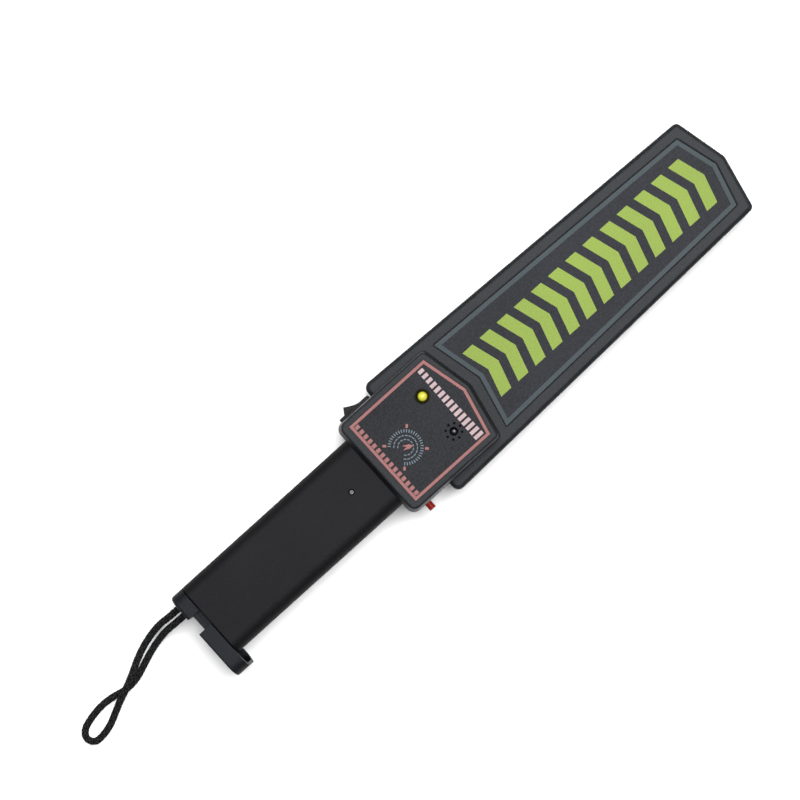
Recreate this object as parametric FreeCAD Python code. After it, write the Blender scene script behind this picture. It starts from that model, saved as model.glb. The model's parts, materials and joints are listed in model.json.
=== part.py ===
import FreeCAD, Part
import math
import os

# The wand lies on its back: X runs along it towards the tip, Y across it, Z up through its front.
# The origin is on the surface that it lies on, below the middle of its length and width.
# All lengths are in millimetres.

# Whole wand
overall_length = 410.0
overall_height = 45.0
shell_wall = 2.3
slip_fit = 0.3
close_fit = 0.15
running_fit = 0.06
cut_overrun = 1.0

# Blade: the flat head that holds the search coil
blade_base_width = 82.6
blade_taper = 15.8
blade_tip_rise = 7.5
housing_rise = 14.0
blade_base_corner = 4.5
blade_tip_corner = 3.5
blade_point_corner = 4.0
front_edge_round = 3.0
back_edge_round = 2.8
parting_share = 0.4
reveal_width = 0.4
reveal_depth = 0.35
lip_height = 1.5
rib_thickness = 1.8

# Field sunk into the front of the blade, and the label that lies in it
field_depth = 1.1
field_tip_margin = 6.0
field_base_setback = 2.0
field_tip_rise = 7.3
field_base_rise = 7.6
field_tip_margins = 13.9
field_base_margins = 18.0
field_corner = 1.4
label_thickness = 0.5
label_margin = 0.35

# Shallow field in the back of the blade
back_field_depth = 0.8
back_field_margin = 9.0

# Control housing, raised on the blade and running on as a neck
housing_length = 75.4
housing_roof_rise = 7.0
housing_side_steps = 14.8
housing_draft = 1.2
housing_end_slope = 2.4
housing_lower_corner = 4.6
housing_upper_corner = 3.0
housing_edge_round = 1.6
neck_length = 27.6

# Control panel: its sunk bed, its film, and the places of lamp and buzzer
panel_depth = 0.6
panel_film_thickness = 0.4
panel_length = 65.1
panel_roof_rise = 7.0
panel_margins = 7.4
panel_lower_margin = 6.7
panel_corner = 1.2
lamp_from_neck = 50.0
lamp_offset = 13.5
buzzer_offset = 13.5

# Handle
handle_width = 49.2
handle_length = 128.1
handle_front_step = 6.5
handle_back_gap = 1.5
handle_corner = 8.0
handle_wall = 2.4
handle_edge_round = 0.8
spigot_wall = 2.0
collar_lip = 1.2
collar_length = 2.0

# End cap: plate with its rail, strap block and sliding battery door
cap_length = 9.9
cap_gap = 0.35
strap_block_width = 16.2
strap_block_setback = 0.7
strap_edge_round = 2.0
door_wall = 2.0
door_width = 32.7
door_depth = 9.4
door_open = 10.2
door_edge_round = 1.2
rail_setback = 4.3
rail_thickness = 2.8
rail_lip = 1.6
plate_spigot_length = 4.5

# Wrist strap and the crimp that holds its ends
strap_diameter = 4.4
strap_exit_inner = 12.4
strap_exit_pitch = 5.1
strap_hole_gap = 0.3
crimp_length = 5.0
crimp_wall = 0.5
crimp_from_end = 3.0

# Battery and its clip
battery_length = 46.4
battery_width = 26.5
battery_depth = 17.5
battery_corner = 2.0
battery_from_end = 4.0
battery_side_gap = 1.1
stud_height = 2.5
stud_radius = 3.2
stud_pitch = 12.7
clip_thickness = 4.0
clip_length_share = 0.96
battery_lead_radius = 0.8
battery_lead_pitch = 6.0
cradle_shares = (0.33, 0.8)

# Circuit board
board_thickness = 1.6
board_drop = 16.0
board_tongue_width = 34.0
board_tongue_reach = 27.6
board_shoulder_margins = 10.8
board_shoulder_gap = 6.6
board_shoulder_length = 19.0
board_margins = 17.4
board_length = 56.0
board_screw_margin = 4.0
board_screw_step = 29.6
board_front_screw_step = 59.0
board_boss_radius = 3.0

# Lamp and its holder
lamp_radius = 2.8
lamp_flange_radius = 3.3
lamp_flange_height = 1.0
lamp_holder_radius = 4.4
lamp_holder_flange = 0.8
lamp_sink = 0.3
lamp_lead_radius = 0.25
lamp_lead_pitch = 2.54

# Buzzer
buzzer_radius = 6.0
buzzer_height = 9.6
buzzer_dome_radius = 2.3
buzzer_dome_height = 0.8
grille_centre_radius = 2.6
grille_hole_radius = 0.75
grille_ring_radius = 4.7
grille_holes = 8

# Rocker switch, let into the wall of the neck on the +Y side
switch_from_neck = 15.5
switch_below_board = 8.0
bezel_length = 21.6
bezel_width = 15.0
bezel_height = 2.1
switch_body_length = 19.6
switch_body_width = 12.8
switch_body_depth = 13.0
switch_corner = 1.0
rocker_top_length = 13.8
rocker_length = 16.0
rocker_width = 10.8
rocker_well_gap = 0.4
rocker_pivot_depth = 3.85
rocker_rise = 5.95
rocker_foot_rise = 0.9
rocker_tilt = 21.2
rocker_dish = 0.9
trunnion_radius = 1.2
trunnion_length = 0.7
terminal_width = 4.7
terminal_thickness = 0.8
terminal_length = 8.0
terminal_pitch = 6.0
terminals = 3

# Push button in the wall of the neck on the -Y side
button_from_neck = 10.6
button_below_board = 8.0
button_radius = 2.15
button_reach = 4.6
button_round = 0.5
button_flange = 1.2
button_flange_thickness = 1.0
button_travel = 1.2
plunger_radius = 1.6
plunger_length = 3.6
button_switch_size = 6.2
button_switch_depth = 5.0
button_pin_width = 0.7

# Trimmer below the small hole in the handle
trimmer_from_neck = 17.4
trimmer_hole_radius = 2.0
trimmer_size = 6.6
trimmer_height = 4.4
trimmer_screw_radius = 1.2
trimmer_screw_height = 1.0
trimmer_slot = 0.45

# Search coil on its former
coil_base_setback = 47.4
coil_outer_inset = 9.5
coil_inner_inset = 17.0
former_base_thickness = 1.2
former_wall = 1.2
former_wall_height = 6.0
winding_height = 4.6
winding_edge_gap = 0.7
coil_corner = 14.0
coil_seat_drop = 1.4
coil_lead_radius = 0.6
coil_lead_pitch = 6.0

# Screws of the head and the handle, driven from the back
screw_radius = 1.25
pilot_radius = 1.3
screw_head_radius = 2.7
screw_head_height = 2.0
screw_counterbore_gap = 0.4
screw_seat_height = 5.0
screw_bite_share = 0.5
screw_boss_radius = 3.4
screw_recess_width = 0.9
screw_recess_depth = 1.2
tip_screw_from_coil = 9.5
middle_screw_from_coil = 15.0
screw_coil_gap = 1.5
neck_screw_from_neck = 32.6
neck_boss_sunk_share = 0.25
handle_screws_from_neck = (35.4, 67.4)
board_screw_head_radius = 2.4
board_screw_head_height = 1.6
board_screw_bite = 5.0

# A cord's arc takes this share of its shorter run
arc_share = 0.45

# Places worked out from the sizes above
blade_length = overall_length - cap_length - handle_length - neck_length
blade_thickness = overall_height - housing_rise
parting_height = blade_thickness * parting_share
blade_tip_width = blade_base_width - blade_taper
field_tip_width = blade_tip_width - field_tip_margins
field_base_width = blade_base_width - field_base_margins
housing_width = blade_base_width - housing_side_steps
housing_top_width = housing_width - 2 * housing_draft
panel_width = housing_top_width - panel_margins
coil_seat_height = parting_height - coil_seat_drop
handle_depth = overall_height - handle_front_step - handle_back_gap
board_height = overall_height - board_drop
board_shoulder_width = housing_width - board_shoulder_margins
board_width = housing_top_width - board_margins
board_screw_spread = board_width / 2 - board_screw_margin
switch_height = board_height - switch_below_board
button_height = board_height - button_below_board
tip_x = overall_length / 2
end_x = -overall_length / 2
blade_base_x = tip_x - blade_length
tip_shoulder_x = tip_x - blade_tip_rise
neck_x = blade_base_x - neck_length
housing_point_x = neck_x + housing_length
housing_shoulder_x = housing_point_x - housing_roof_rise
handle_end_x = end_x + cap_length
handle_z = handle_back_gap + handle_depth / 2
panel_low_x = neck_x + panel_lower_margin
lamp_x = neck_x + lamp_from_neck
board_top = board_height + board_thickness
blade_ceiling = blade_thickness - field_depth - shell_wall
screw_bite = (blade_thickness - parting_height) * screw_bite_share
housing_ceiling = overall_height - panel_depth - shell_wall
film_top = overall_height - panel_depth + panel_film_thickness
blade_slope = (blade_base_width - blade_tip_width) / 2 / (tip_shoulder_x - blade_base_x)

up = FreeCAD.Vector(0, 0, 1)
along = FreeCAD.Vector(1, 0, 0)
across = FreeCAD.Vector(0, 1, 0)


def point(x, y, z):
    return FreeCAD.Vector(x, y, z)


def corner_arc(before, corner, after, radius):
    # start, middle and end of the arc that rounds one corner
    into = point(*(corner - before)).normalize()
    out = point(*(after - corner)).normalize()
    half_turn = math.acos(max(-1, min(1, into.dot(out)))) / 2
    cut_back = radius * math.tan(half_turn)
    to_centre = point(*(out - into)).normalize()
    middle = corner + to_centre * (radius / math.cos(half_turn) - radius)
    return corner - into * cut_back, middle, corner + out * cut_back


def rounded_wire(corners, radii):
    # a closed flat outline whose corners are arcs
    edges = []
    arcs = []
    count = len(corners)
    for index in range(count):
        before, corner, after = corners[index - 1], corners[index], corners[(index + 1) % count]
        arcs.append(corner_arc(before, corner, after, radii[index]))
    for index in range(count):
        start, middle, end = arcs[index]
        following = arcs[(index + 1) % count][0]
        edges.append(Part.Arc(start, middle, end).toShape())
        edges.append(Part.LineSegment(end, following).toShape())
    return Part.Wire(edges)


def inset_corners(corners, inset):
    # a plan outline, run counter-clockwise, with each side moved inwards
    moved = []
    count = len(corners)
    for index in range(count):
        before, corner, after = corners[index - 1], corners[index], corners[(index + 1) % count]
        into = point(corner[0] - before[0], corner[1] - before[1], 0).normalize()
        out = point(after[0] - corner[0], after[1] - corner[1], 0).normalize()
        inward = up.cross(into) + up.cross(out)
        share = inset / (1 + into.dot(out))
        moved.append((corner[0] + inward.x * share, corner[1] + inward.y * share))
    return moved


def plan_block(corners, radii, low, high):
    # an upright block on a plan outline
    wire = rounded_wire([point(x, y, low) for x, y in corners], radii)
    return Part.Face(wire).extrude(up * (high - low))


def section_block(start, end, half_y, half_z, corner, mid_y=0, mid_z=None):
    # a block along X whose section is a rounded rectangle
    mid_z = handle_z if mid_z is None else mid_z
    corners = [point(start, mid_y - half_y, mid_z - half_z), point(start, mid_y + half_y, mid_z - half_z)]
    corners += [point(start, mid_y + half_y, mid_z + half_z), point(start, mid_y - half_y, mid_z + half_z)]
    return Part.Face(rounded_wire(corners, [corner] * 4)).extrude(along * (end - start))


def box(low, high):
    size = high - low
    return Part.makeBox(size.x, size.y, size.z, low)


def post(x, y, low, high, radius):
    return Part.makeCylinder(radius, high - low, point(x, y, low))


def level_edges(shape, height):
    # the edges that lie flat at one height
    return [e for e in shape.Edges if abs(e.BoundBox.ZMin - height) < close_fit
            and abs(e.BoundBox.ZMax - height) < close_fit]


def end_edges(shape, place):
    # the edges that lie in one plane across X
    return [e for e in shape.Edges if abs(e.BoundBox.XMin - place) < close_fit
            and abs(e.BoundBox.XMax - place) < close_fit]


def below(shape, height):
    bound = shape.BoundBox
    low = point(bound.XMin, bound.YMin, bound.ZMin) - point(1, 1, 1) * cut_overrun
    high = point(bound.XMax, bound.YMax, height) + point(1, 1, 0) * cut_overrun
    return shape.common(box(low, high))


def above(shape, height):
    bound = shape.BoundBox
    low = point(bound.XMin, bound.YMin, height) - point(1, 1, 0) * cut_overrun
    high = point(bound.XMax, bound.YMax, bound.ZMax) + point(1, 1, 1) * cut_overrun
    return shape.common(box(low, high))


def group(shapes):
    return Part.makeCompound(shapes)


def tube(name, route, radius):
    # a round cord along straight runs joined by arcs as large as the runs allow
    edges = []
    start = route[0]
    bends = []
    length = 0
    for before, corner, after in zip(route, route[1:], route[2:]):
        into = corner - before
        out = after - corner
        turn = into.getAngle(out)
        bend = arc_share * min(into.Length, out.Length) / math.tan(turn / 2)
        bends.append(bend)
        first, middle, last = corner_arc(before, corner, after, bend)
        edges.append(Part.LineSegment(start, first).toShape())
        edges.append(Part.Arc(first, middle, last).toShape())
        length += (first - start).Length + bend * turn
        start = last
    edges.append(Part.LineSegment(start, route[-1]).toShape())
    length += (route[-1] - start).Length
    circle = Part.Wire(Part.makeCircle(radius, route[0], route[1] - route[0]))
    solid = Part.Wire(edges).makePipeShell([circle], True, True)
    share = solid.Volume / (math.pi * radius ** 2 * length)
    print(name, "length", round(length, 1), "volume share", round(share, 4))
    print(name, "radii", [round(bend, 1) for bend in bends])
    return solid


def blade_half(place):
    # half the blade's width at one place along it
    return blade_base_width / 2 - blade_slope * (place - blade_base_x)


def on_wall(shape, place, side):
    # carry a shape, made on a wall whose outside is the XZ plane, to the neck's side wall
    moved = shape.copy()
    if side < 0:
        moved.rotate(point(0, 0, 0), up, 180)
    moved.translate(point(place, side * housing_width / 2, 0))
    return moved


# Outlines in plan, each run counter-clockwise from the lower -Y corner

def blade_outline():
    base = blade_base_width / 2
    tip = blade_tip_width / 2
    return [(blade_base_x, -base), (tip_shoulder_x, -tip), (tip_x, 0), (tip_shoulder_x, tip),
            (blade_base_x, base)]


def housing_outline():
    half = housing_width / 2
    return [(neck_x, -half), (housing_shoulder_x, -half), (housing_point_x, 0),
            (housing_shoulder_x, half), (neck_x, half)]


def leaning_outline(height, low_x):
    # the housing's walls lean inwards above the blade, apart from the neck's end wall
    share = (height - blade_thickness) / (overall_height - blade_thickness)
    inner = inset_corners(housing_outline(), housing_draft * share)
    return [(low_x, inner[0][1])] + inner[1:4] + [(low_x, inner[4][1])]


def field_outline():
    point_x = tip_x - field_tip_margin
    base_x = housing_point_x - field_base_setback
    shoulder_x = point_x - field_tip_rise
    base = field_base_width / 2
    tip = field_tip_width / 2
    return [(base_x, -base), (shoulder_x, -tip), (point_x, 0), (shoulder_x, tip), (base_x, base),
            (base_x + field_base_rise, 0)]


def panel_outline():
    half = panel_width / 2
    point_x = panel_low_x + panel_length
    shoulder_x = point_x - panel_roof_rise
    return [(panel_low_x, -half), (shoulder_x, -half), (point_x, 0), (shoulder_x, half),
            (panel_low_x, half)]


def coil_outline():
    base_x = blade_base_x + coil_base_setback
    base = blade_half(base_x)
    tip = blade_tip_width / 2
    return [(base_x, -base), (tip_shoulder_x, -tip), (tip_x, 0), (tip_shoulder_x, tip), (base_x, base)]


def blade_radii(inset):
    radii = [blade_base_corner, blade_tip_corner, blade_point_corner, blade_tip_corner, blade_base_corner]
    return [max(radius - inset, slip_fit) for radius in radii]


def housing_radii(inset):
    radii = [housing_lower_corner, housing_upper_corner, blade_point_corner, housing_upper_corner,
             housing_lower_corner]
    return [max(radius - inset, slip_fit) for radius in radii]


# Head shells

def head_outside():
    blade = plan_block(blade_outline(), blade_radii(0), 0, blade_thickness)
    blade = blade.makeFillet(front_edge_round, level_edges(blade, blade_thickness))
    blade = blade.makeFillet(back_edge_round, level_edges(blade, 0))
    neck = plan_block(housing_outline(), housing_radii(0), 0, blade_thickness)
    neck = neck.makeFillet(back_edge_round, level_edges(neck, 0))
    # the neck's end wall slopes from the level of the handle's front to the top
    levels = [(blade_thickness, neck_x), (overall_height - handle_front_step, neck_x),
              (overall_height, neck_x + housing_end_slope)]
    wires = []
    for height, low_x in levels:
        outline = [point(x, y, height) for x, y in leaning_outline(height, low_x)]
        wires.append(rounded_wire(outline, housing_radii(0)))
    housing = Part.makeLoft(wires, True, True)
    housing = housing.makeFillet(housing_edge_round, level_edges(housing, overall_height))
    return blade.fuse([neck, housing])


def head_ring(inset, low, high):
    blade = plan_block(inset_corners(blade_outline(), inset), blade_radii(inset), low, high)
    housing = plan_block(inset_corners(housing_outline(), inset), housing_radii(inset), low, high)
    return blade.fuse(housing)


def head_reveal():
    # what the front shell leaves out along the parting line
    high = parting_height + reveal_width
    around = box(point(end_x, -blade_base_width, parting_height - reveal_width),
                 point(overall_length, blade_base_width, high))
    return around.cut(head_ring(reveal_depth, 0, blade_thickness))


def head_inside():
    blade_inner = inset_corners(blade_outline(), shell_wall)
    housing_inner = inset_corners(housing_outline(), shell_wall)
    blade = plan_block(blade_inner, blade_radii(shell_wall), shell_wall + back_field_depth, blade_ceiling)
    housing = plan_block(housing_inner, housing_radii(shell_wall), shell_wall, housing_ceiling)
    return blade.fuse(housing)


def head_screw_places():
    # the plan places of the head's screws, with the height where each front boss ends
    places = []
    tip = tip_shoulder_x - coil_inner_inset - tip_screw_from_coil
    middle = blade_base_x + coil_base_setback + coil_inner_inset + middle_screw_from_coil
    neck = neck_x + neck_screw_from_neck
    neck_spread = housing_width / 2 - shell_wall - screw_boss_radius * (1 - neck_boss_sunk_share)
    for side in (-1, 1):
        for place in (tip, middle):
            spread = blade_half(place) - coil_inner_inset - screw_coil_gap - screw_boss_radius
            places.append((place, side * spread, blade_ceiling))
        places.append((neck, side * neck_spread, housing_ceiling))
    return places


def neck_mouth():
    # the opening in the neck's end wall, which the handle's spigot passes through
    half_y = handle_width / 2 - handle_wall + close_fit
    half_z = handle_depth / 2 - handle_wall + close_fit
    corner = handle_corner - handle_wall
    return section_block(neck_x - cut_overrun, neck_x + shell_wall + cut_overrun, half_y, half_z, corner)


def wall_cuts():
    # the holes for rocker switch and push button, through the neck's side walls
    reach = shell_wall * 2
    length = switch_body_length / 2 + close_fit
    width = switch_body_width / 2 + close_fit
    switch = box(point(-length, -reach, switch_height - width), point(length, reach, switch_height + width))
    button = Part.makeCylinder(button_radius + slip_fit, 2 * reach, point(0, -reach, button_height), across)
    return [on_wall(switch, neck_x + switch_from_neck, 1), on_wall(button, neck_x + button_from_neck, -1)]


def board_screw_places():
    rear = neck_x + board_screw_step
    return [(rear, -board_screw_spread), (rear, board_screw_spread), (neck_x + board_front_screw_step, 0)]


def grille_cuts(low, high):
    cuts = [post(lamp_x, -buzzer_offset, low, high, grille_centre_radius)]
    for index in range(grille_holes):
        turn = 2 * math.pi * index / grille_holes
        hole_x = lamp_x + grille_ring_radius * math.cos(turn)
        hole_y = -buzzer_offset + grille_ring_radius * math.sin(turn)
        cuts.append(post(hole_x, hole_y, low, high, grille_hole_radius))
    return cuts


def lamp_cut(low, high):
    return post(lamp_x, lamp_offset, low, high, lamp_holder_radius + close_fit)


def cross_rib(place, low, high):
    # a rib across the blade between its side walls
    half = blade_half(place) - shell_wall
    start = point(place - rib_thickness / 2, -half, low)
    return box(start, point(place + rib_thickness / 2, half, high))


def coil_rib_places():
    # the ribs that the coil former rests on, at thirds of its length
    first = blade_base_x + coil_base_setback + coil_inner_inset
    last = tip_shoulder_x - coil_inner_inset
    return [first + (last - first) * index / 3 for index in range(1, 3)]


def head_front_shell():
    shell = above(head_outside().cut(head_inside()), parting_height)
    lip_inset = shell_wall / 2 + close_fit
    lip = head_ring(lip_inset, parting_height - lip_height, parting_height + lip_height)
    lip = lip.cut(head_ring(shell_wall, parting_height - cut_overrun - lip_height, overall_height))
    shell = shell.fuse(lip)
    field_top = blade_thickness + cut_overrun
    field_radii = [field_corner] * 6
    field = plan_block(field_outline(), field_radii, blade_thickness - field_depth, field_top)
    shell = shell.cut(field.cut(plan_block(housing_outline(), housing_radii(0), 0, overall_height)))
    panel_top = overall_height + cut_overrun
    panel = plan_block(panel_outline(), [panel_corner] * 5, overall_height - panel_depth, panel_top)
    shell = shell.cut(panel)
    for x, y, ceiling in head_screw_places():
        boss = post(x, y, parting_height, ceiling + shell_wall / 2, screw_boss_radius)
        shell = shell.fuse(boss)
    for x, y in board_screw_places():
        shell = shell.fuse(post(x, y, board_top, housing_ceiling + shell_wall / 2, board_boss_radius))
    ring_low = housing_ceiling - buzzer_dome_radius
    ring_top = housing_ceiling + shell_wall / 2
    ring = post(lamp_x, -buzzer_offset, ring_low, ring_top, buzzer_radius + shell_wall)
    ring = ring.cut(post(lamp_x, -buzzer_offset, 0, overall_height, buzzer_radius + slip_fit))
    shell = shell.fuse(ring)
    former_top = coil_seat_height + former_wall_height
    ribs = [cross_rib(place, former_top + slip_fit, blade_ceiling + shell_wall / 2)
            for place in coil_rib_places()]
    shell = shell.fuse(ribs)
    cuts = [neck_mouth(), head_reveal()] + wall_cuts()
    cuts += grille_cuts(housing_ceiling - cut_overrun / 2, panel_top)
    cuts.append(lamp_cut(board_top, panel_top))
    for x, y, ceiling in head_screw_places():
        cuts.append(post(x, y, 0, parting_height + screw_bite + cut_overrun, pilot_radius))
    for x, y in board_screw_places():
        cuts.append(post(x, y, board_height, board_top + board_screw_bite + cut_overrun, pilot_radius))
    return shell.cut(cuts)


def head_back_shell():
    shell = below(head_outside().cut(head_inside()), parting_height)
    bosses = [post(x, y, shell_wall / 2, parting_height, screw_boss_radius)
              for x, y, ceiling in head_screw_places()]
    bosses = [boss.common(head_ring(shell_wall / 2, 0, parting_height)) for boss in bosses]
    ribs = [cross_rib(place, shell_wall / 2, coil_seat_height) for place in coil_rib_places()]
    shell = shell.fuse(bosses + ribs)
    rebate_low = parting_height - lip_height - slip_fit
    rebate = head_ring(shell_wall / 2, rebate_low, parting_height + cut_overrun)
    inner = head_ring(shell_wall + close_fit, 0, parting_height + cut_overrun * 2)
    field = inset_corners(blade_outline(), back_field_margin)
    back_field = plan_block(field, blade_radii(0), -cut_overrun, back_field_depth)
    housing = plan_block(housing_outline(), housing_radii(0), -cut_overrun * 2, overall_height)
    back_field = back_field.cut(housing)
    cuts = [rebate.cut(inner), back_field, neck_mouth()] + wall_cuts()
    for x, y, ceiling in head_screw_places():
        cuts.append(post(x, y, -cut_overrun, screw_seat_height, screw_head_radius + screw_counterbore_gap))
        cuts.append(post(x, y, 0, parting_height + cut_overrun, screw_radius + slip_fit))
    return shell.cut(cuts)


def head_label():
    corners = inset_corners(field_outline(), label_margin)
    floor = blade_thickness - field_depth
    label = plan_block(corners, [field_corner] * 6, floor, floor + label_thickness)
    return label


def control_label():
    corners = inset_corners(panel_outline(), label_margin)
    label = plan_block(corners, [panel_corner] * 5, overall_height - panel_depth, film_top)
    low = overall_height - panel_depth - cut_overrun
    return label.cut(grille_cuts(low, overall_height) + [lamp_cut(low, overall_height)])


# Handle shells

def handle_section(start, end, inset):
    corner = max(handle_corner - inset, slip_fit)
    return section_block(start, end, handle_width / 2 - inset, handle_depth / 2 - inset, corner)


def handle_reveal():
    # what the front shell leaves out along its parting line
    start = handle_end_x - cut_overrun
    around = box(point(start, -handle_width, handle_z),
                 point(neck_x, handle_width, handle_z + reveal_width))
    return around.cut(handle_section(start, neck_x + cut_overrun, reveal_depth))


def handle_body():
    spigot_inset = handle_wall
    spigot_end = neck_x + shell_wall + slip_fit + collar_length
    outside = handle_section(handle_end_x, neck_x, 0)
    outside = outside.makeFillet(handle_edge_round, end_edges(outside, handle_end_x))
    spigot = handle_section(neck_x - spigot_wall, spigot_end, spigot_inset)
    collar = handle_section(spigot_end - collar_length, spigot_end, spigot_inset - collar_lip)
    inside = handle_section(handle_end_x - cut_overrun, neck_x - spigot_wall, handle_wall)
    throat = handle_section(neck_x - spigot_wall * 2, spigot_end + cut_overrun, handle_wall + spigot_wall)
    groove_start = handle_end_x + plate_spigot_length / 2
    groove = handle_section(groove_start, groove_start + plate_spigot_length / 2 + slip_fit, handle_wall / 2)
    return outside.fuse([spigot, collar]).cut([inside, throat, groove])


def handle_screw_places():
    return [(neck_x - step, 0) for step in handle_screws_from_neck]


def battery_mid_y():
    return -(handle_width / 2 - handle_wall - battery_side_gap - battery_width / 2)


def handle_back_shell():
    shell = below(handle_body(), handle_z)
    floor = handle_z - handle_depth / 2
    bosses = [post(x, y, floor + handle_wall / 2, handle_z, screw_boss_radius)
              for x, y in handle_screw_places()]
    shell = shell.fuse(bosses)
    side_y = battery_width / 2 + close_fit
    for share in cradle_shares:
        place = end_x + battery_from_end + battery_length * share
        low = point(place, -handle_width / 2 + handle_wall / 2, floor + handle_wall / 2)
        high = point(place + rib_thickness, battery_mid_y() + side_y + rib_thickness, handle_z)
        bed = box(point(place, battery_mid_y() - side_y, handle_z - battery_depth / 2),
                  point(place + rib_thickness, battery_mid_y() + side_y, handle_z))
        inside = handle_section(place, place + rib_thickness, handle_wall / 2)
        shell = shell.fuse(box(low, high).cut(bed).common(inside))
    cuts = []
    for x, y in handle_screw_places():
        cuts.append(post(x, y, 0, floor + screw_seat_height, screw_head_radius + screw_counterbore_gap))
        cuts.append(post(x, y, 0, handle_z + cut_overrun, screw_radius + slip_fit))
    return shell.cut(cuts)


def handle_front_shell():
    shell = above(handle_body(), handle_z)
    roof = handle_z + handle_depth / 2
    bosses = [post(x, y, handle_z, roof - handle_wall / 2, screw_boss_radius)
              for x, y in handle_screw_places()]
    shell = shell.fuse(bosses)
    hole_x = neck_x - trimmer_from_neck
    hole = post(hole_x, 0, board_top + trimmer_height, roof + cut_overrun, trimmer_hole_radius)
    cuts = [hole, handle_reveal()]
    for x, y in handle_screw_places():
        cuts.append(post(x, y, handle_z - cut_overrun, handle_z + screw_bite, pilot_radius))
    return shell.cut(cuts)


# End cap

def rail_sections(growth):
    # the rail's flange and the web behind it, which the door's two lips reach round
    inset = door_wall + slip_fit - growth
    half_y = handle_width / 2 - inset
    half_z = handle_depth / 2 - inset
    corner = handle_corner - inset
    flange_end = end_x + rail_setback + rail_thickness + growth
    flange = section_block(end_x + rail_setback - growth, flange_end, half_y, half_z, corner)
    web_start = end_x + rail_setback + rail_thickness / 2
    web = section_block(web_start, handle_end_x, half_y, half_z - rail_lip, corner)
    return [flange, web]


def strap_block_low_y():
    return handle_width / 2 - strap_block_width


def battery_hole():
    half_y = battery_width / 2 + close_fit
    half_z = battery_depth / 2 + close_fit
    return section_block(end_x, handle_end_x + plate_spigot_length + cut_overrun, half_y, half_z,
                         battery_corner, battery_mid_y())


def strap_exits():
    return [strap_exit_inner, strap_exit_inner + strap_exit_pitch]


def crimp_block(start, end, growth):
    half_y = strap_exit_pitch / 2 + strap_diameter / 2 + crimp_wall + growth
    half_z = strap_diameter / 2 + crimp_wall + growth
    corner = half_z - slip_fit
    return section_block(start, end, half_y, half_z, corner, strap_exit_inner + strap_exit_pitch / 2)


def handle_end_plate():
    rail = rail_sections(0)
    keep = box(point(end_x, -handle_width, -handle_width),
               point(handle_end_x, handle_width, 2 * handle_width))
    plate = rail[0].fuse(rail[1]).common(keep)
    block_start = end_x + strap_block_setback
    block = handle_section(block_start, handle_end_x - cap_gap, 0)
    block = block.makeFillet(strap_edge_round, end_edges(block, block_start))
    side = box(point(end_x, strap_block_low_y(), 0),
               point(handle_end_x, handle_width, 2 * handle_width))
    block = block.common(side)
    spigot = handle_section(handle_end_x - rail_thickness / 2, handle_end_x + plate_spigot_length,
                            handle_wall + close_fit)
    bead_start = handle_end_x + plate_spigot_length / 2 + close_fit
    bead = handle_section(bead_start, handle_end_x + plate_spigot_length, handle_wall / 2 + close_fit)
    spigot = spigot.common(box(point(handle_end_x, -handle_width, -handle_width),
                               point(0, handle_width, 2 * handle_width)))
    spigot_end = handle_end_x + plate_spigot_length + cut_overrun
    hollow = handle_section(handle_end_x + plate_spigot_length / 3, spigot_end,
                            handle_wall + close_fit + spigot_wall)
    cuts = [hollow, battery_hole()]
    cuts.append(crimp_block(end_x + crimp_from_end, spigot_end, close_fit))
    for y in strap_exits():
        hole_radius = strap_diameter / 2 + strap_hole_gap
        cuts.append(Part.makeCylinder(hole_radius, cap_length, point(end_x, y, handle_z), along))
    return plate.fuse([block, spigot, bead]).cut(cuts)


def battery_door():
    # drawn closed, then slid out along -Y to where it rests
    low_y = -handle_width / 2
    door = handle_section(end_x, end_x + door_depth, 0)
    door = door.makeFillet(door_edge_round, end_edges(door, end_x))
    keep = box(point(end_x, low_y, 0), point(handle_end_x, low_y + door_width, 2 * handle_width))
    door = door.common(keep)
    mouth = handle_section(end_x + door_wall, end_x + rail_setback, door_wall + rail_lip)
    for channel in rail_sections(slip_fit) + [mouth]:
        bound = channel.BoundBox
        slot = box(point(bound.XMin, 0, bound.ZMin), point(bound.XMax, handle_width, bound.ZMax))
        door = door.cut([channel, slot])
    door.translate(across * -door_open)
    return door


def strap_crimp():
    return crimp_block(end_x + crimp_from_end, end_x + crimp_from_end + crimp_length, 0)


# Wrist strap: its route by hand, from one end to the other, as X from the wand's end, Y and Z

strap_route = [
    (3.0, 17.5, 20.0), (-7.5, 17.5, 20.0), (-16.3, 18.5, 12.6), (-24.6, 17.8, 4.8), (-33.7, 15.6, 3.0),
    (-41.6, 12.0, 5.4), (-49.1, 7.6, 7.6), (-57.0, 3.8, 7.8), (-64.5, 1.1, 6.3), (-72.1, -2.4, 2.9),
    (-79.9, -6.1, 2.3), (-87.0, -7.7, 2.3), (-93.4, -7.6, 2.3), (-96.0, -2.2, 2.3), (-92.6, 2.6, 2.3),
    (-84.1, 5.1, 2.3), (-75.5, 6.2, 2.3), (-67.3, 5.5, 2.3), (-58.7, 3.2, 2.3), (-49.9, 3.9, 2.3),
    (-41.6, 6.9, 2.3), (-33.3, 10.1, 2.4), (-24.8, 12.3, 3.7), (-16.4, 13.1, 11.6), (-7.5, 12.4, 20.0),
    (3.0, 12.4, 20.0),
]


def wrist_strap():
    return tube("wrist_strap", [point(end_x + x, y, z) for x, y, z in strap_route], strap_diameter / 2)


# Battery, its clip and its leads

def battery():
    start = end_x + battery_from_end
    end = start + battery_length
    case = section_block(start, end, battery_width / 2, battery_depth / 2, battery_corner, battery_mid_y())
    studs = []
    for side in (-1, 1):
        base = point(end, battery_mid_y() + side * stud_pitch / 2, handle_z)
        studs.append(Part.makeCylinder(stud_radius, stud_height, base, along))
    return case.fuse(studs)


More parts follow.
